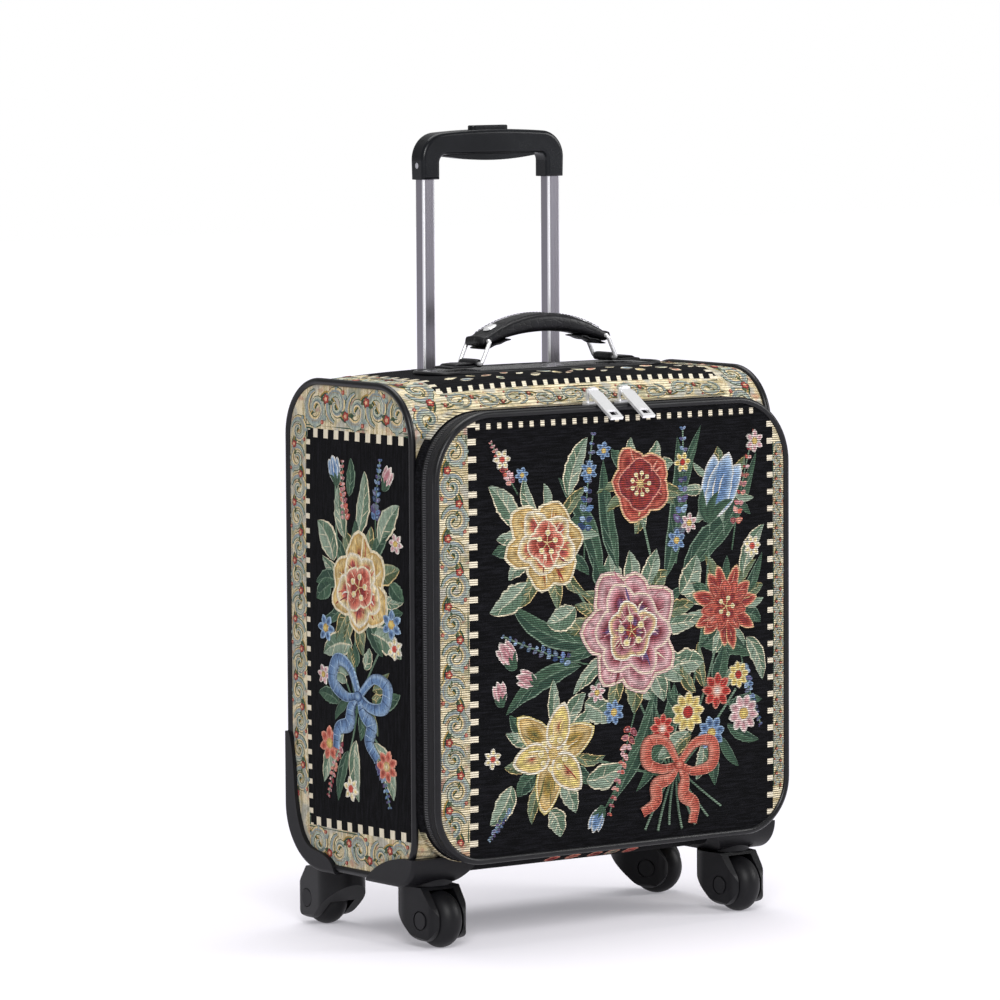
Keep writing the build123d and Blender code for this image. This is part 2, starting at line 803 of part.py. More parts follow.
# Trolley grip: a moulded bar with two legs, sockets for the tubes, and a channel for the release rods
rod_z = grip_top - rod_drop
screw_z = grip_leg_bottom + screw_rise
rod_room = rod_radius + button_gap
with BuildPart() as grip_housing:
    with BuildSketch(Plane.XZ.offset(-tube_y)) as bar:
        with BuildLine():
            half = grip_width / 2
            leg_inside = half - grip_leg_width
            shoulder = grip_top - grip_crown
            SagittaArc((-half, shoulder), (half, shoulder), grip_crown)
            Polyline(
                (half, shoulder),
                (half - grip_leg_taper, grip_leg_bottom),
                (leg_inside, grip_leg_bottom),
                (leg_inside, grip_bar_underside),
                (-leg_inside, grip_bar_underside),
                (-leg_inside, grip_leg_bottom),
                (grip_leg_taper - half, grip_leg_bottom),
                (-half, shoulder),
            )
        make_face()
        fillet(bar.vertices().group_by(Axis.Y)[-1], grip_shoulder_radius)
        inner_corners = [v for v in bar.vertices() if abs(v.Y - grip_bar_underside) < seat_gap]
        fillet(inner_corners, grip_inner_radius)
    extrude(amount=grip_depth / 2, both=True)
    fillet(grip_housing.faces().filter_by(Axis.Y).edges(), grip_edge_radius)
    extrude(
        tube_sections(
            tube_width + 2 * seat_gap,
            tube_depth + 2 * seat_gap,
            tube_corner_radius,
            grip_leg_bottom - overrun,
        ),
        amount=grip_socket_depth + overrun,
        mode=Mode.SUBTRACT,
    )
    channel_top = rod_z + rod_room
    channel_bottom = rod_z - rod_room - button_travel
    channel_half = tube_x + rod_channel / 2
    with BuildSketch(Plane.YZ.offset(-channel_half)):
        with Locations((tube_y, (channel_bottom + channel_top) / 2)):
            Rectangle(rod_channel, channel_top - channel_bottom)
    extrude(amount=2 * channel_half, mode=Mode.SUBTRACT)
    extrude(
        tube_sections(rod_channel, rod_channel, rod_radius, socket_top - overrun),
        amount=channel_top - socket_top + overrun,
        mode=Mode.SUBTRACT,
    )
    with BuildSketch(Plane.XY.offset(rod_z + rod_radius - button_travel - button_gap)):
        with Locations((0, tube_y)):
            RectangleRounded(
                button_length + 2 * button_gap,
                button_width + 2 * button_gap,
                button_width / 2,
            )
    extrude(amount=grip_top - rod_z + overrun, mode=Mode.SUBTRACT)
    for side in (-1, 1):
        with BuildSketch(Plane.YZ.offset(side * tube_x)):
            with Locations((tube_y, screw_z)):
                Circle(screw_radius)
        extrude(amount=side * grip_leg_width, mode=Mode.SUBTRACT)
write(grip_housing, "grip_housing")

with BuildPart() as grip_pad:
    pad_half = grip_pad_length / 2
    pad_edge = grip_bar_underside - grip_pad_thickness
    pad_bottom = pad_edge - grip_pad_bulge
    with BuildSketch(Plane.XZ.offset(-tube_y)):
        with BuildLine():
            underside = ThreePointArc((-pad_half, pad_edge), (0, pad_bottom), (pad_half, pad_edge))
            Polyline(
                (pad_half, pad_edge),
                (pad_half, grip_bar_underside),
                (-pad_half, grip_bar_underside),
                (-pad_half, pad_edge),
            )
        make_face()
        groove_count = int(grip_pad_length / grip_pad_pitch)
        with Locations([underside @ ((i + 1) / (groove_count + 1)) for i in range(groove_count)]):
            Rectangle(grip_pad_groove, grip_pad_groove, mode=Mode.SUBTRACT)
    extrude(amount=grip_pad_width / 2, both=True)
write(grip_pad, "grip_pad")

with BuildPart() as grip_screws:
    for side in (-1, 1):
        with BuildSketch(Plane.YZ.offset(side * (tube_x + tube_width / 2 + seat_gap))):
            with Locations((tube_y, screw_z)):
                Circle(screw_radius - seat_gap)
        extrude(amount=side * screw_depth)
write(grip_screws, "grip_screws")

# Release button in the top of the bar, and the rods that it pushes down to the glides
with BuildPart() as release_button:
    with BuildSketch(Plane.XY.offset(rod_z + rod_radius)):
        with Locations((0, tube_y)):
            RectangleRounded(button_length, button_width, button_width / 2 - button_gap)
    extrude(amount=grip_top + button_proud - rod_z - rod_radius)
    fillet(release_button.faces().sort_by(Axis.Z)[-1].edges(), button_proud / 3)
write(release_button, "release_button")

with BuildPart() as push_rods:
    yoke_half = channel_half - button_gap
    with BuildSketch(Plane.YZ.offset(-yoke_half)):
        with Locations((tube_y, rod_z)):
            Rectangle(rod_channel - 2 * button_gap, 2 * rod_radius)
    extrude(amount=2 * yoke_half)
    rod_bottom = pin_z + lock_pin_radius + button_travel + button_gap
    with BuildSketch(Plane.XY.offset(rod_bottom)):
        with Locations((-tube_x, tube_y), (tube_x, tube_y)):
            Circle(rod_radius)
    extrude(amount=rod_z - rod_bottom)
write(push_rods, "push_rods")

# Leather plate on the top
with BuildPart() as handle_plate:
    with BuildSketch(Plane.XY.offset(top_z)):
        with Locations((0, handle_y)):
            RectangleRounded(plate_length, plate_depth, plate_corner_radius)
    extrude(amount=plate_height)
    fillet(handle_plate.faces().sort_by(Axis.Z)[-1].edges(), plate_edge_radius)
write(handle_plate, "handle_plate")

# Carry handle: tabs on the plate, a rectangular ring in each, and the arched strap between the rings
tab_loop = ring_wire_radius + running_gap + tab_loop_wall
ring_x = ring_spacing / 2
ring_z = plate_top + tab_loop
ring_sin = sin(radians(ring_lean))
ring_cos = cos(radians(ring_lean))
strap_x = ring_x - ring_length * ring_sin
strap_z = ring_z + ring_length * ring_cos
for side, word in ((-1, "left"), (1, "right")):
    with BuildPart() as handle_tab:
        with BuildSketch(Plane.XZ.offset(-handle_y)):
            with Locations((side * ring_x, ring_z)):
                Circle(tab_loop)
            with Locations((side * (ring_x + tab_length / 2), plate_top + tab_thickness / 2)):
                Rectangle(tab_length, tab_thickness)
            with Locations((side * ring_x, ring_z)):
                Circle(ring_wire_radius + running_gap, mode=Mode.SUBTRACT)
        extrude(amount=tab_width / 2, both=True)
    write(handle_tab, f"{word}_handle_tab")

    ring_plane = Plane(
        origin=(side * ring_x, handle_y, ring_z),
        x_dir=(0, 1, 0),
        z_dir=(ring_cos, 0, side * ring_sin),
    )
    with BuildSketch(ring_plane) as ring_path:
        with Locations((0, ring_length / 2)):
            RectangleRounded(ring_inner_width + 2 * ring_wire_radius, ring_length, ring_corner_radius)
    loop = ring_path.sketch.face().outer_wire()
    with BuildPart() as ring:
        with BuildSketch(Plane(origin=loop @ 0, z_dir=loop % 0)):
            Circle(ring_wire_radius)
        sweep(path=loop)
    write(ring, f"{word}_handle_ring")

strap_loop = ring_wire_radius + running_gap + strap_loop_wall
end_top = strap_z + strap_loop * strap_end_share
end_bottom = end_top - strap_end_thickness
top_rise = strap_top - end_top
top_radius = (strap_x**2 + top_rise**2) / (2 * top_rise)
low_rise = strap_top - strap_middle_thickness - end_bottom
low_radius = (strap_x**2 + low_rise**2) / (2 * low_rise)
low_centre = end_bottom + low_rise - low_radius
fold_turn = degrees(strap_fold_length / low_radius)
end_turn = degrees(acos(strap_x / low_radius))
rivet_x = strap_x * rivet_share
rivet_turn = asin(rivet_x / top_radius)
rivet_z = strap_top - top_radius * (1 - cos(rivet_turn))
rivet_planes = [
    Plane(origin=(side * rivet_x, handle_y, rivet_z), z_dir=(side * sin(rivet_turn), 0, cos(rivet_turn)))
    for side in (-1, 1)
]
with BuildPart() as carry_strap:
    with BuildSketch(Plane.XZ.offset(-handle_y)):
        with BuildLine():
            ThreePointArc((-strap_x, end_top), (0, strap_top), (strap_x, end_top))
            Line((strap_x, end_top), (strap_x, end_bottom))
            ThreePointArc((strap_x, end_bottom), (0, end_bottom + low_rise), (-strap_x, end_bottom))
            Line((-strap_x, end_bottom), (-strap_x, end_top))
        make_face()
        with Locations((-strap_x, strap_z), (strap_x, strap_z)):
            Circle(strap_loop)
        # The ends of the leather are folded back underneath
        for start in (end_turn, 180 - end_turn - fold_turn):
            with BuildLine():
                upper = CenterArc((0, low_centre), low_radius + strap_fold_thickness, start, fold_turn)
                lower = CenterArc((0, low_centre), low_radius - strap_fold_thickness, start, fold_turn)
                Line(upper @ 0, lower @ 0)
                Line(upper @ 1, lower @ 1)
            make_face()
        with Locations((-strap_x, strap_z)):
            Circle(ring_wire_radius + running_gap, mode=Mode.SUBTRACT)
        with Locations((strap_x, strap_z)):
            Circle(ring_wire_radius + strap_slack, mode=Mode.SUBTRACT)
    extrude(amount=strap_width / 2, both=True)
    for plane in rivet_planes:
        with BuildSketch(plane.offset(-strap_middle_thickness)):
            Circle(rivet_shank_radius)
        extrude(amount=2 * strap_middle_thickness, mode=Mode.SUBTRACT)
write(carry_strap, "carry_strap")

with BuildPart() as strap_rivets:
    for plane in rivet_planes:
        with BuildSketch(plane):
            Circle(rivet_radius)
        extrude(amount=rivet_head, taper=rivet_taper)
        with BuildSketch(plane.offset(-strap_end_thickness)):
            Circle(rivet_shank_radius)
        extrude(amount=strap_end_thickness)
write(strap_rivets, "strap_rivets")
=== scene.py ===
"""Looks of the carry-on suitcase: woven tapestry cloth, piping, zip, leather carry handle and black casters.

Metres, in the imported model's frame: +X right seen from the front, +Y to the back, +Z up.
"""

import json

import bpy
import numpy as np
from mathutils import Matrix, Vector


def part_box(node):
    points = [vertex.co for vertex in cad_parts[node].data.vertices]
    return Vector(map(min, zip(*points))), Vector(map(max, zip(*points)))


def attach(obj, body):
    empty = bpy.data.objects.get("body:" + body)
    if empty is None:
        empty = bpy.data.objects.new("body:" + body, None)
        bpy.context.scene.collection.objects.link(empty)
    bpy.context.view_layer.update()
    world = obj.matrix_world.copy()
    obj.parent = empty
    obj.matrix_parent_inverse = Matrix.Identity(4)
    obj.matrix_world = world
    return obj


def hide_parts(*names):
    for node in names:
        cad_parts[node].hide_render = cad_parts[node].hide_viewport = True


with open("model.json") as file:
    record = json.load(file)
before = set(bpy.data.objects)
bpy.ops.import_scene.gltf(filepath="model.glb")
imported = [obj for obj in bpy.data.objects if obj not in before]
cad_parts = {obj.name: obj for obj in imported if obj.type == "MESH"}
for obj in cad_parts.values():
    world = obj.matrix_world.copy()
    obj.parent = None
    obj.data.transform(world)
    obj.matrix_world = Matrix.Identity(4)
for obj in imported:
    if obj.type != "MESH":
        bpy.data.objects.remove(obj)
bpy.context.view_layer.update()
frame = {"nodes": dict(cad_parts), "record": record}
nodes = frame["nodes"]
scene = bpy.context.scene
MM = 0.001
RIB = 1.85 * MM  # pitch of the cloth's weft ribs
SIDES = ((-1, "left"), (1, "right"))
rng = np.random.default_rng(11)


def corners(node):
    """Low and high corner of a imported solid's box."""
    return [np.array(corner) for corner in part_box(node)]


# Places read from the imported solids. The outlines of the lid and of the ends follow the middle of their piping.
LID_LOW, LID_HIGH = corners("lid_panel")
WRAP_LOW, WRAP_HIGH = corners("wrap_panel")
PLATE_LOW, PLATE_HIGH = corners("handle_plate")
STRAP_LOW, STRAP_HIGH = corners("carry_strap")
CASE_FRONT, CASE_BACK = WRAP_LOW[1], WRAP_HIGH[1]
FLOOR_Z, TOP_Z = WRAP_LOW[2], WRAP_HIGH[2]
CASE_HALF = np.array([CASE_BACK - CASE_FRONT, TOP_Z - FLOOR_Z]) / 2
CASE_MID = np.array([CASE_FRONT + CASE_BACK, FLOOR_Z + TOP_Z]) / 2
CASE_RADII = (47 * MM, 50 * MM, 38 * MM)  # top, lower rear, lower front
END_X = -corners("left_end_panel")[0][0]
PIPE = 3 * MM
LID_FRONT = LID_LOW[1]
LID_HALF = LID_HIGH[0] + PIPE
LID_BOTTOM, LID_TOP = LID_LOW[2] - PIPE, LID_HIGH[2] + PIPE
LID_HALF_Z, LID_MID = (LID_TOP - LID_BOTTOM) / 2, (LID_TOP + LID_BOTTOM) / 2
LID_RADII = (55 * MM, 45 * MM)  # top, bottom
PARTING = LID_FRONT + 14 * MM  # where the two halves of the zip meet
HANDLE_Y = (STRAP_LOW[1] + STRAP_HIGH[1]) / 2


# --- meshes ---
def heading(angle):
    """The unit vector at an angle."""
    return np.array([np.cos(angle), np.sin(angle)])


def left_of(way):
    """The vector turned a quarter to the left."""
    return np.array([-way[1], way[0]])


def circle(count):
    """Points of the unit circle."""
    return np.array([heading(turn) for turn in np.linspace(0, 2 * np.pi, count, endpoint=False)])


def mesh_piece(name, verts, faces, material, body, tints=None, smooth=True):
    """A new mesh piece that rides on a body."""
    mesh = bpy.data.meshes.new(name)
    mesh.from_pydata([tuple(v) for v in verts], [], [tuple(f) for f in faces])
    mesh.validate()
    if tints is not None:
        layer = mesh.color_attributes.new("tint", "FLOAT_COLOR", "POINT")
        layer.data.foreach_set("color", np.column_stack([tints, np.ones(len(tints))]).ravel())
    if smooth:
        mesh.polygons.foreach_set("use_smooth", [True] * len(mesh.polygons))
    piece = bpy.data.objects.new(name, mesh)
    scene.collection.objects.link(piece)
    piece.data.materials.append(material)
    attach(piece, body)
    return piece


def grid_faces(rows, columns, close_rows=False, close_columns=False):
    """Quads of a grid of points stored row by row."""
    faces = []
    for r in range(rows if close_rows else rows - 1):
        for c in range(columns if close_columns else columns - 1):
            a, b = r * columns, (r + 1) % rows * columns
            d = (c + 1) % columns
            faces.append((a + c, a + d, b + d, b + c))
    return faces


def shifted(faces, start):
    """The same faces on points that are stored further on."""
    return [tuple(start + k for k in face) for face in faces]


def rounded_box(half_a, half_b, radii, steps=10, straight=12):
    """Closed outline of a rectangle about (0, 0) with corner radii (++, -+, --, +-), and its outward normals."""
    points, normals = [], []
    quarters = ((1, 1, 0), (-1, 1, 90), (-1, -1, 180), (1, -1, 270))
    for (sa, sb, start), radius in zip(quarters, radii):
        for turn in np.radians(np.linspace(start, start + 90, steps)):
            normal = heading(turn)
            points.append(np.array([sa * (half_a - radius), sb * (half_b - radius)]) + radius * normal)
            normals.append(normal)
    dense_points, dense_normals = [], []
    for k, (point, normal) in enumerate(zip(points, normals)):
        after = (k + 1) % len(points)
        count = straight if k % steps == steps - 1 else 1
        for t in np.linspace(0, 1, count, endpoint=False):
            dense_points.append(point * (1 - t) + points[after] * t)
            dense_normals.append(normal)
    return np.array(dense_points), np.array(dense_normals)


def lid_loop():
    """Outline of the lid as (x, z) with normals."""
    top, low = LID_RADII
    points, normals = rounded_box(LID_HALF, LID_HALF_Z, (top, top, low, low))
    return points + np.array([0, LID_MID]), normals


def side_loop(inset=0.0, **counts):
    """Outline of the case's end as (y, z) with normals, moved in by an inset."""
    top, rear, front = (radius - inset for radius in CASE_RADII)
    points, normals = rounded_box(*(CASE_HALF - inset), (top, top, front, rear), **counts)
    return points + CASE_MID, normals


def swept_round_lid(name, section, material, body):
    """A band round the lid: a closed section of (mm out from the outline, y) is carried along it."""
    points, normals = lid_loop()
    verts = []
    for point, normal in zip(points, normals):
        for stand, y in section:
            x, z = point + stand * MM * normal
            verts.append((x, y, z))
    faces = [face[::-1] for face in grid_faces(len(points), len(section), True, True)]
    return mesh_piece(name, verts, faces, material, body)


def filled_panel(name, outline, place, material, body, rings=26):
    """A panel inside a closed outline, with rings towards its middle so that it can be crowned."""
    middle = outline.mean(axis=0)
    verts = [place(*middle)]
    for t in np.linspace(0, 1, rings + 1)[1:]:
        verts.extend(place(*(middle + t * (point - middle))) for point in outline)
    n = len(outline)
    faces = [(0, 1 + k, 1 + (k + 1) % n) for k in range(n)]
    for r in range(rings - 1):
        a, b = 1 + r * n, 1 + (r + 1) * n
        faces.extend((a + k, b + k, b + (k + 1) % n, a + (k + 1) % n) for k in range(n))
    return mesh_piece(name, verts, faces, material, body)


# --- materials ---
def math_node(operation):
    """A method that joins a term, and what it is given, in a math node."""
    return lambda term, *others: term.graph.math(operation, term, *others)


class Term:
    """A node's output that can be used in sums and comparisons."""

    def __init__(self, graph, socket):
        self.graph, self.socket = graph, socket

    __add__, __sub__, __mul__ = (math_node(word) for word in ("ADD", "SUBTRACT", "MULTIPLY"))
    __lt__, __gt__ = math_node("LESS_THAN"), math_node("GREATER_THAN")
    __and__, __or__ = math_node("MULTIPLY"), math_node("MAXIMUM")
    mod, abs, root = (math_node(word) for word in ("FLOORED_MODULO", "ABSOLUTE", "SQRT"))

    def sine(self, period):
        """A wave of that period, from 0 to 1."""
        return self.graph.math("SINE", self * (2 * np.pi / period)) * 0.5 + 0.5


class Graph:
    """A Principled material with short calls for its nodes."""

    def __init__(self, name, color, **sockets):
        self.material = bpy.data.materials.new(name)
        self.material.use_nodes = True
        self.tree = self.material.node_tree
        self.shader = self.tree.nodes["Principled BSDF"]
        self.shader.inputs["Base Color"].default_value = (*color, 1)
        self.material.diffuse_color = (*color, 1)
        for key, value in sockets.items():
            self.shader.inputs[key.replace("_", " ")].default_value = value
        self.where = None

    def node(self, kind, inputs=None, **settings):
        made = self.tree.nodes.new(kind)
        for key, value in settings.items():
            setattr(made, key, value)
        for key, value in (inputs or {}).items():
            self.set(made.inputs[key], value)
        return made

    def set(self, socket, value):
        if isinstance(value, Term):
            self.tree.links.new(value.socket, socket)
        else:
            socket.default_value = value

    def math(self, operation, *values):
        return Term(self, self.node("ShaderNodeMath", dict(enumerate(values)), operation=operation).outputs[0])

    def point(self):
        if self.where is None:
            self.where = Term(self, self.node("ShaderNodeTexCoord").outputs["Object"])
        return self.where

    def xyz(self):
        split = self.node("ShaderNodeSeparateXYZ", {0: self.point()})
        return [Term(self, socket) for socket in split.outputs]

    def noise(self, scale, detail=3.0, stretch=(1, 1, 1)):
        spread = self.node("ShaderNodeVectorMath", {0: self.point(), 1: stretch}, operation="MULTIPLY")
        inputs = {"Vector": Term(self, spread.outputs[0]), "Scale": scale, "Detail": detail, "Roughness": 0.55}
        return Term(self, self.node("ShaderNodeTexNoise", inputs).outputs["Fac"])

    def cells(self, scale):
        """Distance to the edges of a pattern of cells."""
        inputs = {"Vector": self.point(), "Scale": scale}
        cells = self.node("ShaderNodeTexVoronoi", inputs, feature="DISTANCE_TO_EDGE")
        return Term(self, cells.outputs["Distance"])

    def ramp(self, value, low, high, to_low=0.0, to_high=1.0):
        inputs = {"Value": value, "From Min": low, "From Max": high, "To Min": to_low, "To Max": to_high}
        kind = "SMOOTHSTEP" if (to_low, to_high) == (0.0, 1.0) else "LINEAR"
        return Term(self, self.node("ShaderNodeMapRange", inputs, interpolation_type=kind).outputs[0])

    def mix(self, factor, a, b, blend="MIX"):
        made = self.node("ShaderNodeMix", data_type="RGBA", blend_type=blend)  # its colours are sockets 6, 7 and 2
        for socket, value in zip((made.inputs[0], made.inputs[6], made.inputs[7]), (factor, a, b)):
            self.set(socket, (*value, 1) if isinstance(value, tuple) else value)
        return Term(self, made.outputs[2])

    def tint(self):
        return Term(self, self.node("ShaderNodeVertexColor", layer_name="tint").outputs["Color"])

    def color(self, value):
        self.set(self.shader.inputs["Base Color"], value)
        return self

    def rough(self, value):
        self.set(self.shader.inputs["Roughness"], value)
        return self

    def bump(self, height, strength, distance):
        made = self.node("ShaderNodeBump", {"Height": height, "Strength": strength, "Distance": distance})
        self.set(self.shader.inputs["Normal"], Term(self, made.outputs["Normal"]))
        return self


BLACK = (0.0010, 0.0010, 0.0014)
BLACK_LIGHT = (0.0075, 0.0075, 0.0098)
CREAM = (0.46, 0.37, 0.20)
CREAM_PALE = (0.86, 0.76, 0.54)
DASH = (0.76, 0.69, 0.54)
CREAM_GAP, DASH_GAP = (0.035, 0.03, 0.02), (0.2, 0.17, 0.13)
# Clouds of other threads in the cream: scale of the noise, level where they start, share and colour
TINGES = (
    (52.0, 0.5, 0.6, (0.33, 0.36, 0.38)),
    (61.0, 0.55, 0.5, (0.19, 0.22, 0.14)),
    (85.0, 0.58, 0.5, (0.42, 0.13, 0.09)),
)


def rib_wave(graph, axis):
    """Rows of weft across an axis, a little uneven, from 0 in the gaps to 1 on the threads."""
    along = graph.xyz()[axis]
    return graph.ramp((along + graph.noise(240.0, 2.0) * (0.45 * MM)).sine(RIB), 0.12, 0.62)


def tapestry(name, region, rib_axis, grain, rib_depth):
    """Woven cloth: a black chenille field, pale border and dashes, from a function that gives the two masks."""
    graph = Graph(name, BLACK, Roughness=0.92, Sheen_Weight=0.01, Sheen_Roughness=0.5, Specular_IOR_Level=0.09)
    cream, dash = region(graph)
    dash = dash & (cream * -1.0 + 1.0)
    streak = graph.noise(1.0, 3.0, grain)
    fleck = graph.noise(900.0, 2.0)
    field = graph.mix(graph.ramp(streak * 0.65 + fleck * 0.35, 0.4, 0.68), BLACK, BLACK_LIGHT)
    thread = graph.noise(1.0, 2.0, tuple(g * 0.5 for g in grain))
    pale = graph.mix(graph.ramp(thread * 0.6 + fleck * 0.4, 0.38, 0.62), CREAM, CREAM_PALE)
    for scale, low, share, hue in TINGES:
        pale = graph.mix(graph.ramp(graph.noise(scale, 3.0), low, low + 0.1) * share, pale, hue)
    rib = rib_wave(graph, rib_axis)
    gaps = rib * rib_depth + (1 - rib_depth)
    color = graph.mix(cream, field, graph.mix(gaps, CREAM_GAP, pale))
    color = graph.mix(dash, color, graph.mix(gaps, DASH_GAP, DASH))
    height = rib * 0.8 + fleck * 0.5 + streak * 0.6 + (cream | dash) * 0.6
    graph.color(color).bump(height, 0.7, 0.6 * MM)
    return graph.material


END_FIELD = (91, 430)  # bottom and top of the black field on the ends, in mm


def dashes(along, pitch, length):
    """A row of dashes, in mm."""
    return along.mod(pitch * MM) < length * MM


def front_region(graph):
    """Cream at both sides, with dashes beside it and along the top."""
    x, _, z = graph.xyz()
    cream = (x < -154 * MM) | (x > 171 * MM)
    left = (x < -145.6 * MM) & dashes(z, 14.6, 5.2)
    right = (x > 164.5 * MM) & dashes(z, 14.6, 4.8)
    top = (z > 435.5 * MM) & (z < 440.5 * MM) & dashes(x, 11.2, 4.2) & (x.abs() < 150 * MM)
    return cream, left | right | top


def end_region(graph):
    """Cream at the rear, the top and the bottom, with dashes beside it."""
    _, y, z = graph.xyz()
    rear = CASE_BACK - 28 * MM
    low, high = (level * MM for level in END_FIELD)
    row = 7.6 * MM
    cream = (y > rear) | (z < low) | (z > high)
    inside = (z > low) & (z < high)
    back = (y > rear - 6 * MM) & inside & dashes(z, 12.6, 4.4)
    ends = ((z > high - row) | (z < low + row)) & (y < rear) & dashes(y, 15.4, 6.6)
    return cream, back | ends


def wrap_region(graph):
    """Cream along both margins and in front of the plate, with dashes beside it."""
    x, y, z = graph.xyz()
    edge = 150 * MM
    front = CASE_FRONT + 19 * MM
    high = z > 300 * MM
    cream = (x.abs() > edge) | ((y < front) & high)
    ahead = (y < front + 5.5 * MM) & high & dashes(x - y * 0.5, 11.2, 4.2)
    sides = (x.abs() > edge - 6.5 * MM) & dashes(y + z, 14.6, 5.2)
    return cream, (ahead | sides) & (x.abs() < edge + 1 * MM)


def rim_region(graph):
    """Cream on the outer face at the top and the bottom, and no dashes."""
    x, y, z = graph.xyz()
    radius = LID_RADII[0]
    beyond_x = (x.abs() - (LID_HALF - radius)) | 0.0
    beyond_z = ((z - LID_MID).abs() - (LID_HALF_Z - radius)) | 0.0
    outer = (beyond_x * beyond_x + beyond_z * beyond_z).root() > radius - 6 * MM
    cream = (z > 428 * MM) | (z < 100 * MM)
    return cream & (y > PARTING + 6 * MM) & outer, x * 0.0


# Cloths: where the cream and the dashes lie, axis of the ribs, stretch of the threads, depth of the ribs
front_cloth = tapestry("front_tapestry", front_region, 2, (60, 400, 700), 0.85)
end_cloth = tapestry("end_tapestry", end_region, 1, (400, 700, 60), 0.5)
wrap_cloth = tapestry("wrap_tapestry", wrap_region, 1, (60, 700, 700), 0.45)
rim_cloth = tapestry("rim_tapestry", rim_region, 2, (60, 400, 700), 0.85)


def webbing(name, axis):
    """Black tape with fine ribs across an axis."""
    dark, light = (0.003, 0.003, 0.0035), (0.013, 0.013, 0.015)
    graph = Graph(name, (0.006, 0.006, 0.007), Roughness=0.75, Specular_IOR_Level=0.3)
    rib = graph.xyz()[axis].sine(1.1 * MM)
    fleck = graph.noise(1500.0, 2.0)
    graph.color(graph.mix(graph.ramp(rib * 0.5 + fleck * 0.5, 0.3, 0.8), dark, light))
    return graph.bump(rib + fleck * 0.4, 0.5, 0.25 * MM).material


def leather(name, color, light, gloss, scale, depth, coat, shine):
    """Coated leather with a fine grain, and a soft larger pucker."""
    graph = Graph(name, color, Coat_Weight=coat, Coat_Roughness=0.26, Specular_IOR_Level=shine)
    grain = graph.ramp(graph.cells(scale), 0.0, 0.12)
    pucker = graph.noise(70.0, 3.0)
    graph.color(graph.mix(graph.ramp(pucker, 0.4, 0.75), color, light))
    graph.rough(graph.ramp(graph.noise(300.0, 3.0) * 0.5 + grain * 0.5, 0.2, 0.9, gloss + 0.14, gloss))
    return graph.bump(grain * 0.35 + pucker, depth, 0.6 * MM).material


def moulded(name, color, gloss, grain_scale, depth):
    """Moulded plastic with a fine even grain and small changes of gloss."""
    graph = Graph(name, color, Specular_IOR_Level=0.22)
    grain = graph.noise(grain_scale, 2.0)
    cloud = graph.noise(22.0, 3.0)
    graph.color(graph.mix(graph.ramp(cloud, 0.35, 0.7), color, tuple(c * 1.5 + 0.002 for c in color)))
    graph.rough(graph.ramp(cloud * 0.5 + grain * 0.5, 0.2, 0.8, gloss - 0.05, gloss + 0.07))
    return graph.bump(grain, depth, 0.2 * MM).material


def metal(name, color, gloss, stretch, metallic=1.0):
    """Metal with fine lines along its drawn direction."""
    graph = Graph(name, color, Metallic=metallic)
    line = graph.noise(1.0, 3.0, stretch)
    graph.color(graph.mix(line, tuple(c * 0.9 for c in color), tuple(min(1.0, c * 1.06) for c in color)))
    graph.rough(graph.ramp(line, 0.3, 0.7, gloss * 0.8, gloss * 1.25))
    return graph.bump(line, 0.08, 0.1 * MM).material


def drawn_tube():
    """Satin tube: grey flats, with a painted highlight on the rounded corners, where the normal points between the x
    and y axes.
    """
    # corner is a painted highlight: a near-white colour on the rounded corners that stands in for the bright line of
    # light along them.
    flat, corner = (0.245, 0.235, 0.262), (0.95, 0.95, 0.97)
    graph = Graph("tube_metal", (0.32, 0.31, 0.34), Metallic=1.0)
    normal = Term(graph, graph.node("ShaderNodeNewGeometry").outputs["Normal"])
    facing = graph.node("ShaderNodeSeparateXYZ", {0: normal})
    # The slant of the normal marks the rounded corners, where the painted highlight goes.
    corner_highlight_slant = (Term(graph, facing.outputs[0]) * Term(graph, facing.outputs[1])).abs()
    graph.color(graph.mix(graph.ramp(corner_highlight_slant, 0.12, 0.34), flat, corner))
    line = graph.noise(1.0, 3.0, (900, 900, 6))
    return graph.rough(graph.ramp(line, 0.3, 0.7, 0.26, 0.34)).material


webbing_z = webbing("zip_tape", 2)
webbing_y = webbing("gusset_tape", 1)
pipe_leather = leather(
    "pipe_leather", (0.003, 0.003, 0.004), (0.006, 0.006, 0.0075),
    gloss=0.3, scale=900.0, depth=0.12, coat=0.12, shine=0.25,
)
plate_leather = leather(
    "plate_leather", (0.005, 0.005, 0.007), (0.011, 0.011, 0.014),
    gloss=0.24, scale=300.0, depth=0.5, coat=0.5, shine=0.45,
)
strap_leather = leather(
    "strap_leather", (0.0025, 0.0025, 0.0035), (0.006, 0.006, 0.008),
    gloss=0.34, scale=170.0, depth=0.6, coat=0.1, shine=0.22,
)
# Moulded pieces: colour, gloss, scale and depth of the grain. Metals: colour, gloss, stretch of the fine lines.
guard_plastic = moulded("guard_plastic", (0.0045, 0.0045, 0.0058), 0.46, 2600.0, 0.25)
caster_plastic = moulded("caster_plastic", (0.0032, 0.0032, 0.0042), 0.4, 2200.0, 0.18)
wheel_rubber = moulded("wheel_rubber", (0.004, 0.004, 0.005), 0.46, 1600.0, 0.22)
grip_plastic = moulded("grip_plastic", (0.003, 0.0036, 0.0048), 0.24, 900.0, 0.03)
# The chrome is only partly metallic: its near-white diffuse share is a painted reflection, standing in for the white
# surround that real chrome mirrors.
chrome = metal("chrome", (0.93, 0.93, 0.94), 0.14, (600, 600, 600), 0.6)
tube_metal = drawn_tube()
steel = metal("steel", (0.6, 0.6, 0.62), 0.25, (500, 500, 500))
lining_cloth = webbing("lining_cloth", 0)
teeth_plastic = moulded("teeth_plastic", (0.05, 0.05, 0.053), 0.3, 900.0, 0.05)
thread = moulded("thread", (0.018, 0.018, 0.02), 0.55, 3000.0, 0.3)

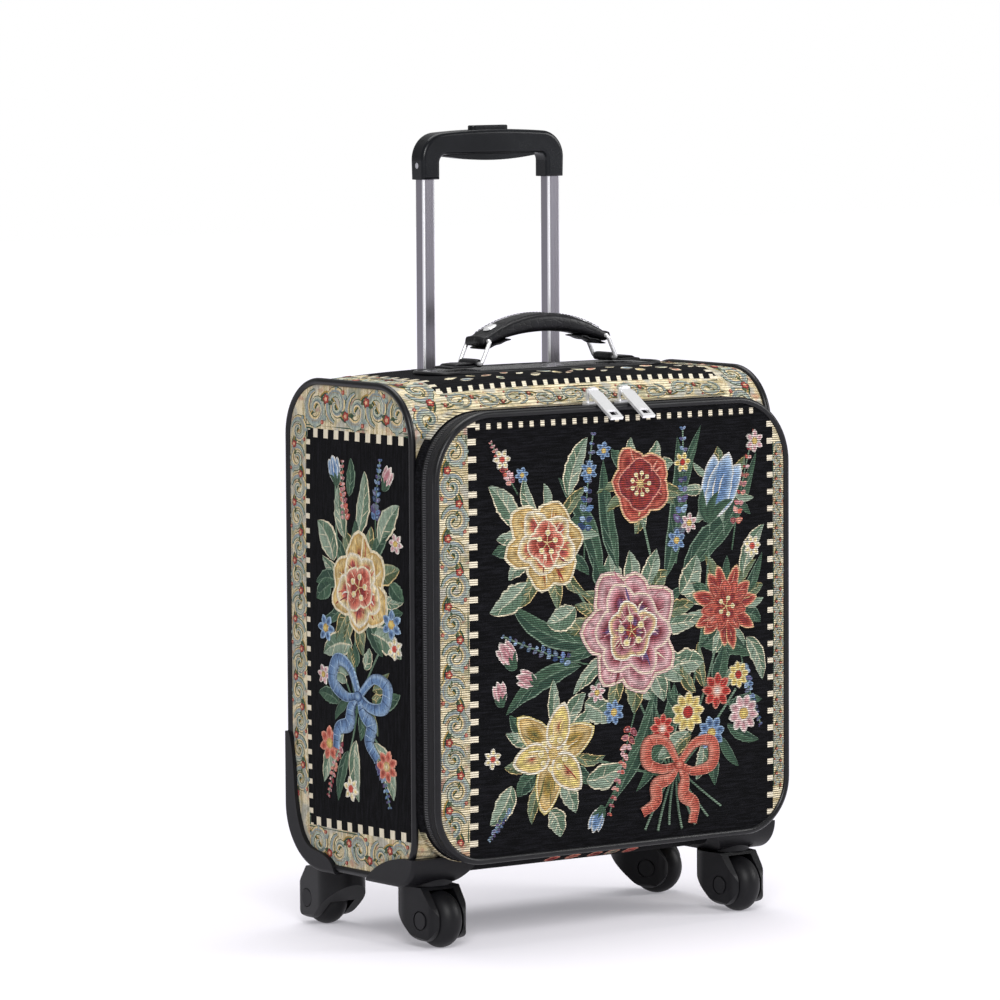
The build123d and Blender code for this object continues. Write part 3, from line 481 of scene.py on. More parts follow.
finishes = {
    "guard": guard_plastic, "caster": caster_plastic, "wheel": wheel_rubber, "axle": caster_plastic,
    "grip": grip_plastic, "tube": tube_metal, "chrome": chrome, "steel": steel, "board": lining_cloth,
    "piping": pipe_leather, "leather": strap_leather, "webbing": webbing_y, "lining": lining_cloth,
    "tapestry": wrap_cloth,
}
for part in frame["record"]["subparts"]:
    piece = nodes[part["node"]]
    piece.data.materials.clear()
    piece.data.materials.append(finishes[part["material_slot"]])


# --- cloth ---
SEAM = 1.5 * MM  # how far the panels' edges lie inside the outlines


def crown(a, b, half_a, half_b, height):
    """Height of a crowned panel above its edge."""
    return height * (1 - min(abs(a / half_a), 1) ** 3) * (1 - min(abs(b / half_b), 1) ** 3)


def on_lid(x, z, lift=0.0):
    """A point on the lid's crowned front."""
    bulge = crown(x, z - LID_MID, LID_HALF, LID_HALF_Z, 4.5 * MM)
    return (x, LID_FRONT - 0.5 * MM - bulge - lift, z)


def on_end(side):
    """The function that gives a point on the crowned end panel of that side."""

    def place(y, z, lift=0.0):
        bulge = crown(y - CASE_MID[0], z - CASE_MID[1], *CASE_HALF, 3.5 * MM)
        return (side * (END_X + 0.2 * MM + bulge + lift), y, z)

    return place


outline, normals = lid_loop()
panel = filled_panel("lid_front_cloth", outline - SEAM * normals, on_lid, front_cloth, "lid")
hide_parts("lid_panel")
for side, word in SIDES:
    outline, _ = side_loop(SEAM)
    panel = filled_panel(f"{word}_end_cloth", outline, on_end(side), end_cloth, "case")
    if side < 0:
        panel.data.flip_normals()
    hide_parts(f"{word}_end_panel")


WRAP_POINTS, WRAP_NORMALS = side_loop(0.0, steps=12, straight=40)
WRAP_RUN = np.concatenate([[0], np.cumsum(np.linalg.norm(np.diff(WRAP_POINTS, axis=0), axis=1))])
WRAP_LENGTH = WRAP_RUN[-1] + np.linalg.norm(WRAP_POINTS[0] - WRAP_POINTS[-1])
TUBES = [sum(corners(f"{word}_inner_tube")) / 2 for _, word in SIDES]


def wrap_place(x, y, z, ny, nz, lift=0.0):
    """A point of the wrap, slack between its edges and crowned on the top, but drawn down round the tubes."""
    slack, top_rise = 2.0, 4.6  # mm
    rise = (slack + top_rise * max(nz, 0) ** 2) * MM
    puff = crown(x, 0, WRAP_HIGH[0], 1, rise) * max(nz, abs(ny) * 0.8, 0.2)
    if nz > 0.3:
        near = min(np.hypot(x - tube[0], y - tube[1]) for tube in TUBES)
        drawn, reach = 0.9, 17 * MM
        puff *= 1 - drawn * np.exp(-((near / reach) ** 4))
    return (x, y + ny * (puff + lift), z + nz * (puff + lift))


def on_wrap(x, run, lift=0.0):
    """A point on the wrap, a run along it from the rear top corner over the top."""
    run %= WRAP_LENGTH
    y, z = (np.interp(run, WRAP_RUN, WRAP_POINTS[:, k]) for k in (0, 1))
    ny, nz = (np.interp(run, WRAP_RUN, WRAP_NORMALS[:, k]) for k in (0, 1))
    return wrap_place(x, y, z, ny, nz, lift)


def build_wrap():
    """The band over the top, back and bottom, with the lid's opening and the tubes' holes left out."""
    xs = np.linspace(-WRAP_HIGH[0], WRAP_HIGH[0], 81)
    verts = np.array([wrap_place(x, *p, *n) for p, n in zip(WRAP_POINTS, WRAP_NORMALS) for x in xs])
    faces = grid_faces(len(WRAP_POINTS), len(xs), True, False)
    middle = np.array([verts[list(face)].mean(axis=0) for face in faces])
    half = np.array([LID_HALF, LID_HALF_Z])
    radius, inset, tube_hole = 50 * MM, 5 * MM, 10.5 * MM
    off = np.abs(middle[:, [0, 2]] - np.array([0, LID_MID]))
    hole = (middle[:, 1] < CASE_FRONT + 20 * MM) & (off < half - inset).all(axis=1)
    corner = off - (half - radius)
    hole &= ~((corner > 0).all(axis=1) & (np.hypot(*corner.T) > radius - inset))
    for tube in TUBES:
        hole |= (np.abs(middle[:, :2] - tube[:2]).max(axis=1) < tube_hole) & (middle[:, 2] > CASE_MID[1])
    faces = [face[::-1] for face, out in zip(faces, hole) if not out]
    piece = mesh_piece("wrap_cloth", verts, faces, wrap_cloth, "case")
    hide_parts("wrap_panel")


build_wrap()


def rim_and_zip():
    """The soft rim of the opening, the two zip tapes with their teeth, and the lid's gusset."""
    inner = -10.8  # where the bands end inside the opening, in mm from the outline
    rim_front, gusset_back = PARTING + 5 * MM, PARTING - 5 * MM
    edge, fold = rim_front + 0.1 * MM, gusset_back - 0.1 * MM
    gusset_front = LID_FRONT + 2 * MM
    back = CASE_FRONT + 15 * MM
    rim = [
        (2.2, back), (2.9, back - 8 * MM), (3.3, rim_front + 5 * MM), (3.1, rim_front + 1.6 * MM), (2.2, edge),
        (inner, edge), (inner, CASE_FRONT + 1 * MM), (-2, CASE_FRONT + 2 * MM), (-2, back),
    ]
    piece = swept_round_lid("rim_cloth", rim, rim_cloth, "case")
    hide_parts("front_rim")
    gusset = [
        (1.6, fold), (2.4, gusset_back - 1.5 * MM), (2.9, (gusset_back + gusset_front) / 2),
        (2.0, gusset_front + 1 * MM), (0.5, gusset_front), (inner, gusset_front), (inner, fold),
    ]
    piece = swept_round_lid("gusset_cloth", gusset, webbing_y, "lid")
    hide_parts("lid_gusset")
    for name, node, body, near, far in (
        ("case_zip_tape", "case_zip_half", "case", PARTING + 0.2 * MM, rim_front),
        ("lid_zip_tape", "lid_zip_half", "lid", PARTING - 0.2 * MM, gusset_back),
    ):
        tape = [(0.9, near), (1.5, near * 0.6 + far * 0.4), (1.4, far), (inner, far), (inner, near)]
        if far < near:
            tape = tape[::-1]
        piece = swept_round_lid(name, tape, webbing_z, body)
        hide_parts(node)
        zip_teeth(f"{name}_teeth", body, near, np.sign(far - near))


def along_loop(points, normals, pitch):
    """Points and normals at even steps along a closed outline."""
    ends = np.vstack([points, points[:1]])
    steps = np.linalg.norm(np.diff(ends, axis=0), axis=1)
    length = np.concatenate([[0], np.cumsum(steps)])
    places = np.linspace(0, length[-1], int(length[-1] / pitch), endpoint=False)
    loop_normals = np.vstack([normals, normals[:1]])
    spots, ways = (
        np.column_stack([np.interp(places, length, column) for column in data.T]) for data in (ends, loop_normals)
    )
    return spots, ways / np.linalg.norm(ways, axis=1)[:, None]


def zip_teeth(name, body, near, way):
    """A row of small moulded teeth beside the parting line, narrower on top."""
    pitch, stand, top_share = 2.0 * MM, 1.0 * MM, 0.72
    size = np.array([0.62, 1.9 * way, 0.9]) * MM
    box = np.array([(a, b, c) for a in (-1, 1) for b in (0, 1) for c in (0, 1)], float)
    quads = ((0, 1, 3, 2), (4, 6, 7, 5), (0, 4, 5, 1), (2, 3, 7, 6), (0, 2, 6, 4), (1, 5, 7, 3))
    verts, faces = [], []
    for point, normal in zip(*along_loop(*lid_loop(), pitch)):
        tangent = left_of(normal)
        start = len(verts)
        for a, b, c in box * size:
            x, z = point + tangent * a * (top_share if c else 1.0) + normal * (stand + c)
            verts.append((x, near + b, z))
        faces.extend(shifted(quads, start))
    mesh_piece(name, verts, faces, teeth_plastic, body, smooth=False)


rim_and_zip()


# --- leather handle ---
def build_plate():
    """The padded leather plate under the handle, puckered inside a corded edge."""
    half = (PLATE_HIGH - PLATE_LOW) / 2
    mid = (PLATE_HIGH + PLATE_LOW) / 2
    radius, base, rise, depth = 25 * MM, 3.2 * MM, 2.6 * MM, 0.45 * MM
    outline, normals = rounded_box(half[0], half[1], [radius] * 4, steps=14, straight=18)

    def place(x, y):
        edge = max(abs(x) / half[0], abs(y) / half[1])
        dome = (1 - edge**6) * rise
        pucker = depth * np.sin(x * 310 + 2 * np.sin(y * 140)) * np.sin(y * 260 + x * 70) * (1 - edge**4)
        return (x + mid[0], y + mid[1], PLATE_HIGH[2] - base + dome + pucker)

    inset, cord, count = 2 * MM, 1.9 * MM, 12
    top = filled_panel("plate_leather_top", outline - inset * normals, place, plate_leather, "case", 22)
    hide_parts("handle_plate")
    verts = []
    for point, normal in zip(outline, normals):
        for out, up in cord * circle(count):
            x, y = point - inset * normal + out * normal
            verts.append((x + mid[0], y + mid[1], PLATE_HIGH[2] - 2.6 * MM + up))
    faces = grid_faces(len(outline), count, True, True)
    mesh_piece("plate_edge_cord", verts, faces, pipe_leather, "case")


build_plate()


pivots = {j["name"]: np.array(j["pos_m"]) for j in frame["record"]["behaviour"]["joints"] if j.get("pos_m")}
RING_AT = pivots["right_ring_hinge"]
STRAP_AT = pivots["strap_hinge"]


def blunt(value, power):
    """A sine or cosine flattened towards its ends, for sections between a circle and a box."""
    return np.sign(value) * np.abs(value) ** power


def strip(name, path, thick, width, body, sway=0.0):
    """A leather strip along a path of (x, z), with rounded edges and closed ends."""
    path = np.array(path)
    run = np.gradient(path, axis=0)
    run /= np.linalg.norm(run, axis=1)[:, None]
    section = [(blunt(a, 0.35), blunt(b, 0.6)) for a, b in circle(20)]
    verts = []
    for k, ((x, z), (rx, rz)) in enumerate(zip(path, run)):
        end = min(k, len(path) - 1 - k)
        slim = (0.55, 0.9)[end] if end < 2 else 1.0
        narrow = 0.97 if end < 1 else 1.0
        for u, v in section:
            off = v * thick / 2 * slim
            y = HANDLE_Y + u * width / 2 * narrow + sway * np.sin(k * 0.9)
            verts.append((x - rz * off, y, z + rx * off))
    count = len(section)
    faces = grid_faces(len(path), count, False, True)
    faces += [tuple(range(count))[::-1], tuple(range(len(verts) - count, len(verts)))]
    return mesh_piece(name, verts, faces, strap_leather, body)


def build_tab(side, word):
    """The leather tab that holds a ring: a tongue on the plate, round the ring's bar, and a short layer on top."""
    x, _, z = RING_AT
    wall = 2.2 * MM
    middle = 1.81 * MM + wall / 2

    def over_plate(rows):
        """A path of (mm out from the ring's bar, mm up from the plate)."""
        return [(x + reach * MM, PLATE_HIGH[2] + rise * MM) for reach, rise in rows]

    path = over_plate(((29, 0.9), (28, 1.5), (22, 1.9), (14, 1.9), (8, 1.7)))
    path += [(x, z) + middle * heading(turn) for turn in np.radians(np.linspace(-42, 250, 22))]
    path = [(side * a, b) for a, b in path]
    piece = strip(f"{word}_tab_leather", path, wall, 25.5 * MM, "case")
    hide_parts(f"{word}_handle_tab")
    upper = over_plate(((24, 3.0), (22, 3.6), (14, 4.0), (8, 4.0), (5, 4.4)))
    strip(f"{word}_tab_keeper", [(side * a, b) for a, b in upper], 1.8 * MM, 22 * MM, "case", 0.4 * MM)


def build_strap():
    """The padded carry strap: creased panels across it, piped edges, sewn seams and folded-back ends."""
    reach = -STRAP_AT[0]
    top, end = STRAP_HIGH[2], STRAP_AT[2]
    stations, count = 73, 28
    half = (STRAP_HIGH[1] - STRAP_LOW[1]) / 2
    crease = np.sort(rng.uniform(-0.9, 0.9, 15))
    section = [(blunt(a, 0.42), blunt(b, 0.75)) for a, b in circle(count)]
    over, under, drop, thick, overhang = 4.4 * MM, 5 * MM, 5 * MM, 16.4 * MM, 5 * MM
    bead_height, crease_depth, crease_width = 0.5 * MM, 0.55 * MM, 0.012
    verts = []

    def upper(x):
        """Level of the upper face."""
        return end + over + (top - end - drop) * (1 - (x / reach) ** 2) ** 0.92

    def lower(x):
        """Level of the lower face."""
        return end - under + (top - thick - end + under) * (1 - (x / reach) ** 2)

    for share in np.linspace(-1, 1, stations):
        x = share * (reach + overhang)
        inner = np.clip(x, -reach, reach)
        high, low = upper(inner), lower(inner)
        body = (high - low) / 2 * (1.0 if abs(share) < 0.97 else 0.86)
        dent = sum(np.exp(-(((share - c) / crease_width) ** 2)) for c in crease)
        lean = -0.55 * share
        for u, v in section:
            bead = bead_height * np.exp(-(((abs(u) - 0.93) / 0.07) ** 2)) if v > 0.2 else 0.0
            sink = crease_depth * dent * max(v, 0) * (1 - abs(u) ** 4)
            z = (high + low) / 2 + v * body + bead - sink
            verts.append((x + lean * v * body * 0.4, HANDLE_Y + u * half, z))
    faces = [f[::-1] for f in grid_faces(stations, count, False, True)]
    faces += [tuple(range(count)), tuple(range(len(verts) - count, len(verts)))[::-1]]
    piece = mesh_piece("strap_leather_body", verts, faces, strap_leather, "strap")
    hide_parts("carry_strap")
    for side, word in SIDES:
        xs = np.linspace(reach + 1 * MM, reach - 25 * MM, 14)
        path = [(side * x, lower(x) - 1.3 * MM - 0.4 * MM * np.sin(k)) for k, x in enumerate(xs)]
        strip(f"{word}_strap_fold", path, 2.4 * MM, 24.5 * MM, "strap", 0.5 * MM)
    stitches(upper, reach, half)
    rivet_caps(upper)


def rivet_caps(upper):
    """Domed rivet heads near the ends of the strap, square to its upper face."""
    rows, count, radius, height = 6, 24, 6.2 * MM, 1.7 * MM
    place = corners("strap_rivets")[1][0] - 5 * MM
    slope = np.array([1 * MM, upper(place + 1 * MM) - upper(place)])
    slope /= np.linalg.norm(slope)
    verts, faces = [], []
    for side, _ in SIDES:
        along = slope * np.array([1, side])
        start = len(verts)
        for turn in np.linspace(0, np.pi / 2, rows):
            out, up = radius * np.cos(turn) + 0.02 * MM, height * np.sin(turn)
            for a, b in circle(count):
                x, z = np.array([side * place, upper(place)]) + along * out * a + left_of(along) * up
                verts.append((x, HANDLE_Y + out * b, z))
        faces.extend(shifted(grid_faces(rows, count, False, True), start))
    piece = mesh_piece("rivet_caps", verts, faces, chrome, "strap")
    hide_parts("strap_rivets")


def stitches(upper, reach, half):
    """Short thread stitches along both edges of the strap."""
    radius, pitch, margin, count = 0.38 * MM, 3.4 * MM, 4 * MM, 6
    stations = ((-1.2, 0.05), (-0.8, 0.32), (0.8, 0.32), (1.2, 0.05))  # mm along the stitch, mm of rise
    verts, faces = [], []
    for edge in (-1, 1):
        y = HANDLE_Y + edge * half * 0.74
        for x in np.arange(-reach + margin, reach - margin, pitch):
            start = len(verts)
            for along, rise in stations:
                place = x + along * MM
                z = upper(np.clip(place, -reach, reach)) + rise * MM - 0.5 * MM
                verts.extend((place, y + radius * a, z + radius * b) for a, b in circle(count))
            faces.extend(shifted(grid_faces(len(stations), count, False, True), start))
    mesh_piece("strap_stitches", verts, faces, thread, "strap")


for side, word in SIDES:
    build_tab(side, word)
build_strap()


# --- needlework ---
def ink(code):
    """A colour written as six hex digits, as the linear values that shaders take."""
    values = np.array([int(code[k : k + 2], 16) for k in (0, 2, 4)]) / 255
    return np.where(values <= 0.04045, values / 12.92, ((values + 0.055) / 1.055) ** 2.4)


INKS = {
    name: ink(code)
    for name, code in {
        "rose": "c4848c", "blush": "e4bdbd", "wine": "84343d", "gold": "caa45e", "straw": "e4c98f",
        "ivory": "f2e6c6", "brick": "9c3a30", "coral": "cf6d5a", "peach": "e8a48e", "blue": "6d8db6",
        "sky": "a9c3dd", "navy": "2f4369", "lemon": "ecd77f", "white": "f1ede2", "sage": "7d957f",
        "forest": "2b4639", "fern": "4c6a52", "olive": "6d7245", "mist": "a3b3a0", "ash": "98a3a6",
        "violet": "6c5a84", "red": "c0302c", "slate": "6f7f8c", "mustard": "b3934a", "pine": "33503f",
    }.items()
}


def quad_curve(a, b, c, count):
    t = np.linspace(0, 1, count)[:, None]
    return (1 - t) ** 2 * np.array(a) + 2 * t * (1 - t) * np.array(b) + t**2 * np.array(c)


def smooth_curve(points, count):
    """A smooth line through the points."""
    p = np.array(points, float)
    p = np.vstack([2 * p[0] - p[1], p, 2 * p[-1] - p[-2]])
    spans = len(p) - 3
    out = []
    for u in np.linspace(0, spans, count):
        k = min(int(u), spans - 1)
        t = u - k
        a, b, c, d = p[k : k + 4]
        out.append(0.5 * (2 * b + (c - a) * t + (2 * a - 5 * b + 4 * c - d) * t**2 + (3 * b - a - 3 * c + d) * t**3))
    return np.array(out)


def turned(turn):
    c, s = heading(np.radians(turn))
    return np.array([[c, s], [-s, c]])


def shades(text):
    """Stops of a patch: shares of the way out from its middle, each with a colour's name."""
    return tuple((float(share), name) for share, name in (stop.split() for stop in text.split(", ")))


LAYER = 0.26  # mm from one layer of stitches to the next
ROOT = -0.3  # level of the stitches' edges, under the cloth's face, in mm
# Colours across the curls of the border: place, colour at the start and at the end
CURL = (
    (-1, "mist", "ivory"), (-0.3, "ash", "mist"), (0.3, "ash", "slate"), (0.7, "straw", "ivory"),
    (1, "straw", "straw"),
)
ROSETTE, ROSETTE_EYE = shades("0 coral, 0.6 brick, 1 wine"), shades("0 straw, 1 peach")
BERRY, ANTHER = shades("0 peach, 1 brick"), shades("0 lemon, 1 ivory")


def rounded_panel(middle, half, radius):
    """The test whether a point lies well inside a rounded panel."""
    inset = 2.6 * MM

    def inside(a, b):
        over = np.maximum(np.abs(np.array([a, b]) - middle) - half + radius, 0)
        return np.hypot(*over) < radius - inset

    return inside


class Needlework:
    """Raised stitching gathered as one mesh: filled patches and tapering bands on a flat field, in millimetres."""

    def __init__(self):
        self.points, self.faces, self.tints = [], [], []

    def _sheet(self, rows, closed):
        """Add rows of (point, height, colour), joined in a grid."""
        start, columns = len(self.points), len(rows[0])
        for row in rows:
            for (a, b), height, tint in row:
                self.points.append((a, b, height))
                self.tints.append(tint)
        self.faces.extend(shifted(grid_faces(len(rows), columns, False, closed), start))

    def patch(self, outline, stops, layer=0, lift=0.25, streak=0.0):
        """A filled outline. Each stop is a share of the way out from the middle and a colour's name."""
        outline = np.asarray(outline)
        middle = outline.mean(axis=0)
        base = LAYER * layer + rng.uniform(0, 0.04)
        tones = 1 + streak * rng.uniform(-1.0, 0.7, len(outline))
        rows = []
        for share, name in stops:
            height = base + lift * (1 - 0.6 * share**3)
            vary = tones if share < 0.86 else np.ones(len(outline))
            reach = max(share, 0.02)
            rows.append([(middle + reach * (p - middle), height, INKS[name] * v) for p, v in zip(outline, vary)])
        rows.append([(p, ROOT, INKS[stops[-1][1]]) for p in outline])
        self._sheet(rows, True)

    def band(self, path, widths, across, layer=0, lift=0.25):
        """A strip along a path. Across are places from -1 to 1 with the colours' names at its start and its end."""
        path = np.asarray(path)
        widths = np.broadcast_to(widths, len(path))
        run = np.gradient(path, axis=0)
        run /= np.linalg.norm(run, axis=1)[:, None] + 1e-9
        base = LAYER * layer + rng.uniform(0, 0.04)
        rows = []
        for k, (p, (a, b), w) in enumerate(zip(path, run, widths)):
            t = k / (len(path) - 1)
            row = []
            for place, first, last in across:
                tint = INKS[first] * (1 - t) + INKS[last] * t
                row.append((p + place * w * np.array([b, -a]), base + lift * (1 - 0.5 * place**2), tint))
            row.insert(0, (row[0][0], ROOT, row[0][2]))
            row.append((row[-1][0], ROOT, row[-1][2]))
            rows.append(row)
        self._sheet(rows, False)

    def lay(self, name, place, material, body, inside=None):
        """Finish the mesh on a surface, without what lies outside a rounded panel."""
        faces = self.faces
        if inside is not None:
            kept = [inside(a * MM, b * MM) for a, b, _ in self.points]
            faces = [face for face in faces if all(kept[k] for k in face)]
        used = np.unique(np.concatenate([np.array(face) for face in faces]))
        number = {old: new for new, old in enumerate(used)}
        faces = [tuple(number[k] for k in face) for face in faces]
        verts = [place(*(value * MM for value in self.points[k])) for k in used]
        tints = np.array(self.tints)[used]
        return mesh_piece(name, verts, faces, material, body, tints=tints, smooth=False)

    def line(self, path, width, name, last=None, layer=1, lift=0.25):
        """A band of one colour, or from one colour to another."""
        self.band(path, width, [(place, name, last or name) for place in (-1, 0, 1)], layer, lift)

    def leaf(self, base, tip, width, bend=0.2, hues=("forest", "fern", "sage", "mist"), layer=1):
        """A leaf with a darker half, veins and a pale edge."""
        base, tip = np.array(base, float), np.array(tip, float)
        along = tip - base
        count = 15 if width > 5 else 8
        path = quad_curve(base, (base + tip) / 2 + bend * left_of(along), tip, count)
        path += rng.uniform(-0.25, 0.25, path.shape) * min(1, width / 5)
        t = np.linspace(0, 1, count)
        dark, mid, light, edge = hues
        across = (
            (-1, edge, edge), (-0.86, edge, edge), (-0.84, dark, mid), (-0.1, mid, dark), (-0.05, edge, light),
            (0.05, edge, light), (0.1, light, mid), (0.82, mid, light), (0.85, edge, light), (1, edge, light),
        )
        if count < 15:
            across = ((-1, edge, edge), (-0.8, dark, mid), (0, light, mid), (0.8, mid, light), (1, edge, light))
        wide = width * np.sin(np.pi * t**0.85) ** 0.8 * rng.uniform(0.9, 1.1, count) + 0.15
        self.band(path, wide, across, layer)
        if width > 5:
            side = left_of(along) / np.linalg.norm(along)
            for k in range(2, 12, 2):
                for hand in (-1, 1):
                    end = path[k + 2] + hand * side * wide[k + 2] * 0.72
                    tone = (edge, dark, light)[rng.integers(3)]
                    vein = [path[k], (path[k] + end) / 2, end]
                    self.line(vein, (0.5, 0.45, 0.2), tone, layer=layer, lift=0.33)

    def petal(self, base, tip, width, stops, layer=2, ruffle=0.06, point=0.0, strokes=4):
        """A petal from its base to its tip, wavy along the outer edge, with strokes of its other colours."""
        base, tip = np.array(base, float), np.array(tip, float)
        along = tip - base
        side = left_of(along) / np.linalg.norm(along)
        t = np.linspace(0, 1, 14 if width > 5 else 8)
        half = width * np.sin(np.pi * t ** (0.78 + point)) ** (0.62 + 0.5 * point)
        waves = rng.uniform(0, 6.28, 2)
        left = half * (1 + ruffle * np.sin(15 * t + waves[0]) * t)
        right = half * (1 + ruffle * np.sin(14 * t + waves[1]) * t)
        edge = [base + along * k + side * w for k, w in zip(t, left)]
        edge += [base + along * k - side * w for k, w in zip(t[-2:0:-1], right[-2:0:-1])]
        edge = np.array(edge) + np.column_stack([rng.uniform(-0.4, 0.4, len(edge)), np.zeros(len(edge))])
        self.patch(edge, stops, layer, streak=0.35 if strokes else 0.15)
        for _ in range(strokes):
            place, near, far = rng.uniform(-0.6, 0.6), rng.uniform(0.15, 0.45), rng.uniform(0.55, 0.86)
            start = base + along * near + side * place * width * 0.6
            end = base + along * far + side * place * width
            wide = width * rng.uniform(0.05, 0.12) * np.array([0.4, 1.0, 0.25])
            tone = stops[rng.integers(len(stops))][1]
            middle = (start + end) / 2 + side * rng.uniform(-0.1, 0.1) * width
            self.line([start, middle, end], wide, tone, layer=layer, lift=0.34)

    def blossom(self, middle, radius, whorls, heart, turn=0.0, layer=2, ruffle=0.08):
        """Whorls of petals from the outside in, and a heart of (share, stops, number of stamens, their reach)."""
        middle = np.array(middle, float)
        for number, (count, inner, outer, wide, stops) in enumerate(whorls):
            for k in range(count):
                way = heading(np.radians(turn + 360 * (k + 0.5 * (number % 2)) / count + rng.uniform(-11, 11)))
                tip = middle + way * radius * (outer * rng.uniform(0.86, 1.1))
                width = radius * wide * rng.uniform(0.9, 1.15)
                self.petal(middle + way * radius * inner, tip, width, stops, layer + number, ruffle)
        size, eye, stamens, reach = heart
        top = layer + len(whorls)
        ring = circle(12)
        self.patch(middle + ring * radius * size, eye, top)
        for k in range(stamens):
            spot = middle + radius * reach * heading(np.radians(360 * k / stamens + turn))
            self.line([middle, (middle + spot) / 2, spot], 0.4, "straw", layer=top + 1)
            self.patch(spot + ring * radius * 0.06, ANTHER, top + 2)

    def daisy(self, middle, radius, count, petal, eye, layer, turn):
        """A small flower: a ring of narrow petals round an eye."""
        middle = np.array(middle, float)
        stops = tuple(zip((0, 0.6, 1), petal))
        for k in range(count):
            way = heading(np.radians(turn + 360 * k / count)) * radius
            self.petal(middle + way * 0.25, middle + way, radius * 0.27, stops, layer, 0.02, 0.0, 1)
        self.patch(middle + circle(10) * radius * 0.3, tuple(zip((0, 1), eye)), layer + 1)

    def bow(self, middle, size, turn, hues, layer=3):
        """A ribbon bow: two loops, two tails and the knot."""
        deep, mid, pale = hues
        routes = (
            ((0, 0), (-0.5, 0.5), (-1.0, 0.42), (-0.95, -0.05), (-0.45, -0.16), (0, 0)),
            ((0, 0), (0.42, 0.55), (0.92, 0.62), (1.02, 0.12), (0.5, -0.12), (0, 0)),
            ((0, 0), (-0.2, -0.35), (-0.55, -0.55), (-0.5, -0.95), (-0.85, -1.25)),
            ((0, 0), (0.25, -0.3), (0.3, -0.7), (0.68, -0.9), (0.72, -1.35)),
        )
        across = ((-1, pale, pale), (-0.8, mid, deep), (0, mid, mid), (0.55, pale, mid), (1, deep, pale))
        for number, route in enumerate(routes):
            path = smooth_curve(np.array(route) * size, 34) @ turned(turn) + np.array(middle)
            t = np.linspace(0, 1, len(path))
            wide = size * (0.085 + 0.07 * np.sin(np.pi * t) ** 2 + (0.03 * t if number > 1 else 0))
            self.band(path, wide, across, layer + (number < 2))
            for k in range(2, len(path) - 2, 2):
                cut = left_of(path[k + 1] - path[k])
                cut = cut / (np.linalg.norm(cut) + 1e-9) * wide[k] * 0.8
                tone = (deep, pale, mid)[k % 3]
                ends = [path[k] - cut, path[k], path[k] + cut]
                self.line(ends, (0.35, 0.6, 0.35), tone, layer=layer + (number < 2), lift=0.34)
        knot = np.array([(0.15 * np.cos(a), 0.12 * np.sin(a)) for a in np.linspace(0, 6.28, 12, endpoint=False)])
        self.patch(knot * size @ turned(turn) + np.array(middle), ((0, pale), (0.6, mid), (1, deep)), layer + 3)

    def scrolls(self, start, end, width, phase=0, pace=0.98):
        """A running scroll along a strip: a wavy vine, a leafy curl in each bend and rosettes between them."""
        start, end = np.array(start, float), np.array(end, float)
        length = np.linalg.norm(end - start)
        way = (end - start) / length
        side = left_of(way)
        count = max(2, int(round(length / (width * pace))))
        pitch = length / count
        flip = 1 if phase % 2 else -1
        t = np.linspace(0, count, count * 8)
        vine = start + np.outer(t * pitch, way) + np.outer(0.34 * width * flip * np.cos(np.pi * t), side)
        self.line(vine, 0.03 * width, "pine", layer=0)
        self.line(vine + 0.055 * width * side, 0.022 * width, "mustard", layer=0)
        ring = circle(9)
        u = np.linspace(0, 1, 22)
        for k in range(count):
            hand = flip * (1 if k % 2 else -1)
            middle = start + way * pitch * (k + 0.5) + side * hand * 0.06 * width
            angle = np.radians(-80 + 500 * u) * hand
            radius = width * (0.4 * (1 - u) ** 0.75 + 0.05) * rng.uniform(0.94, 1.06)
            curl = middle + np.outer(np.cos(angle) * radius * pace, way) + np.outer(np.sin(angle) * radius, side)
            fat = width * (0.035 + 0.085 * np.sin(np.pi * u**0.7) ** 1.2)
            self.line(curl, fat + 0.024 * width, "pine", layer=0)
            self.band(curl, fat, CURL, 1)
            for j in range(4, 16, 4):
                tone = ("pine", "mustard", "ivory")[j % 3]
                self.line([curl[j], curl[j + 2], curl[j + 4]], 0.013 * width, tone, layer=1, lift=0.34)
            for turn, size in ((-0.9, 0.32), (0.1, 0.26), (1.0, 0.3)):
                root = middle + width * 0.36 * (np.cos(turn) * side * hand + np.sin(turn) * way)
                tip = root + width * size * (np.cos(turn * 1.5) * side * hand + np.sin(turn * 1.5) * way) * 0.6
                self.leaf(root, tip, 0.075 * width, 0.25 * hand, ("slate", "ash", "mist", "pine"), 1)
            spot = start + way * pitch * k - side * hand * 0.2 * width
            for j in range(5):
                self.patch(spot + width * 0.075 * heading(j * 1.257) + ring * width * 0.062, ROSETTE, 2)
            self.patch(spot + ring * width * 0.055, ROSETTE_EYE, 3)
            for lean in (-1, 1):
                tip = spot + way * lean * width * 0.3 + side * hand * 0.1 * width
                self.leaf(spot, tip, 0.06 * width, 0.2, ("forest", "pine", "olive", "fern"), 1)
            spot = start + way * pitch * (k + 0.18) + side * hand * 0.4 * width
            self.patch(spot + ring * width * 0.06, BERRY, 2)
        for hand in (-1, 1):
            off = side * hand * 0.5 * width
            self.line([start + off, (start + end) / 2 + off, end + off], 0.5, "pine", layer=0)


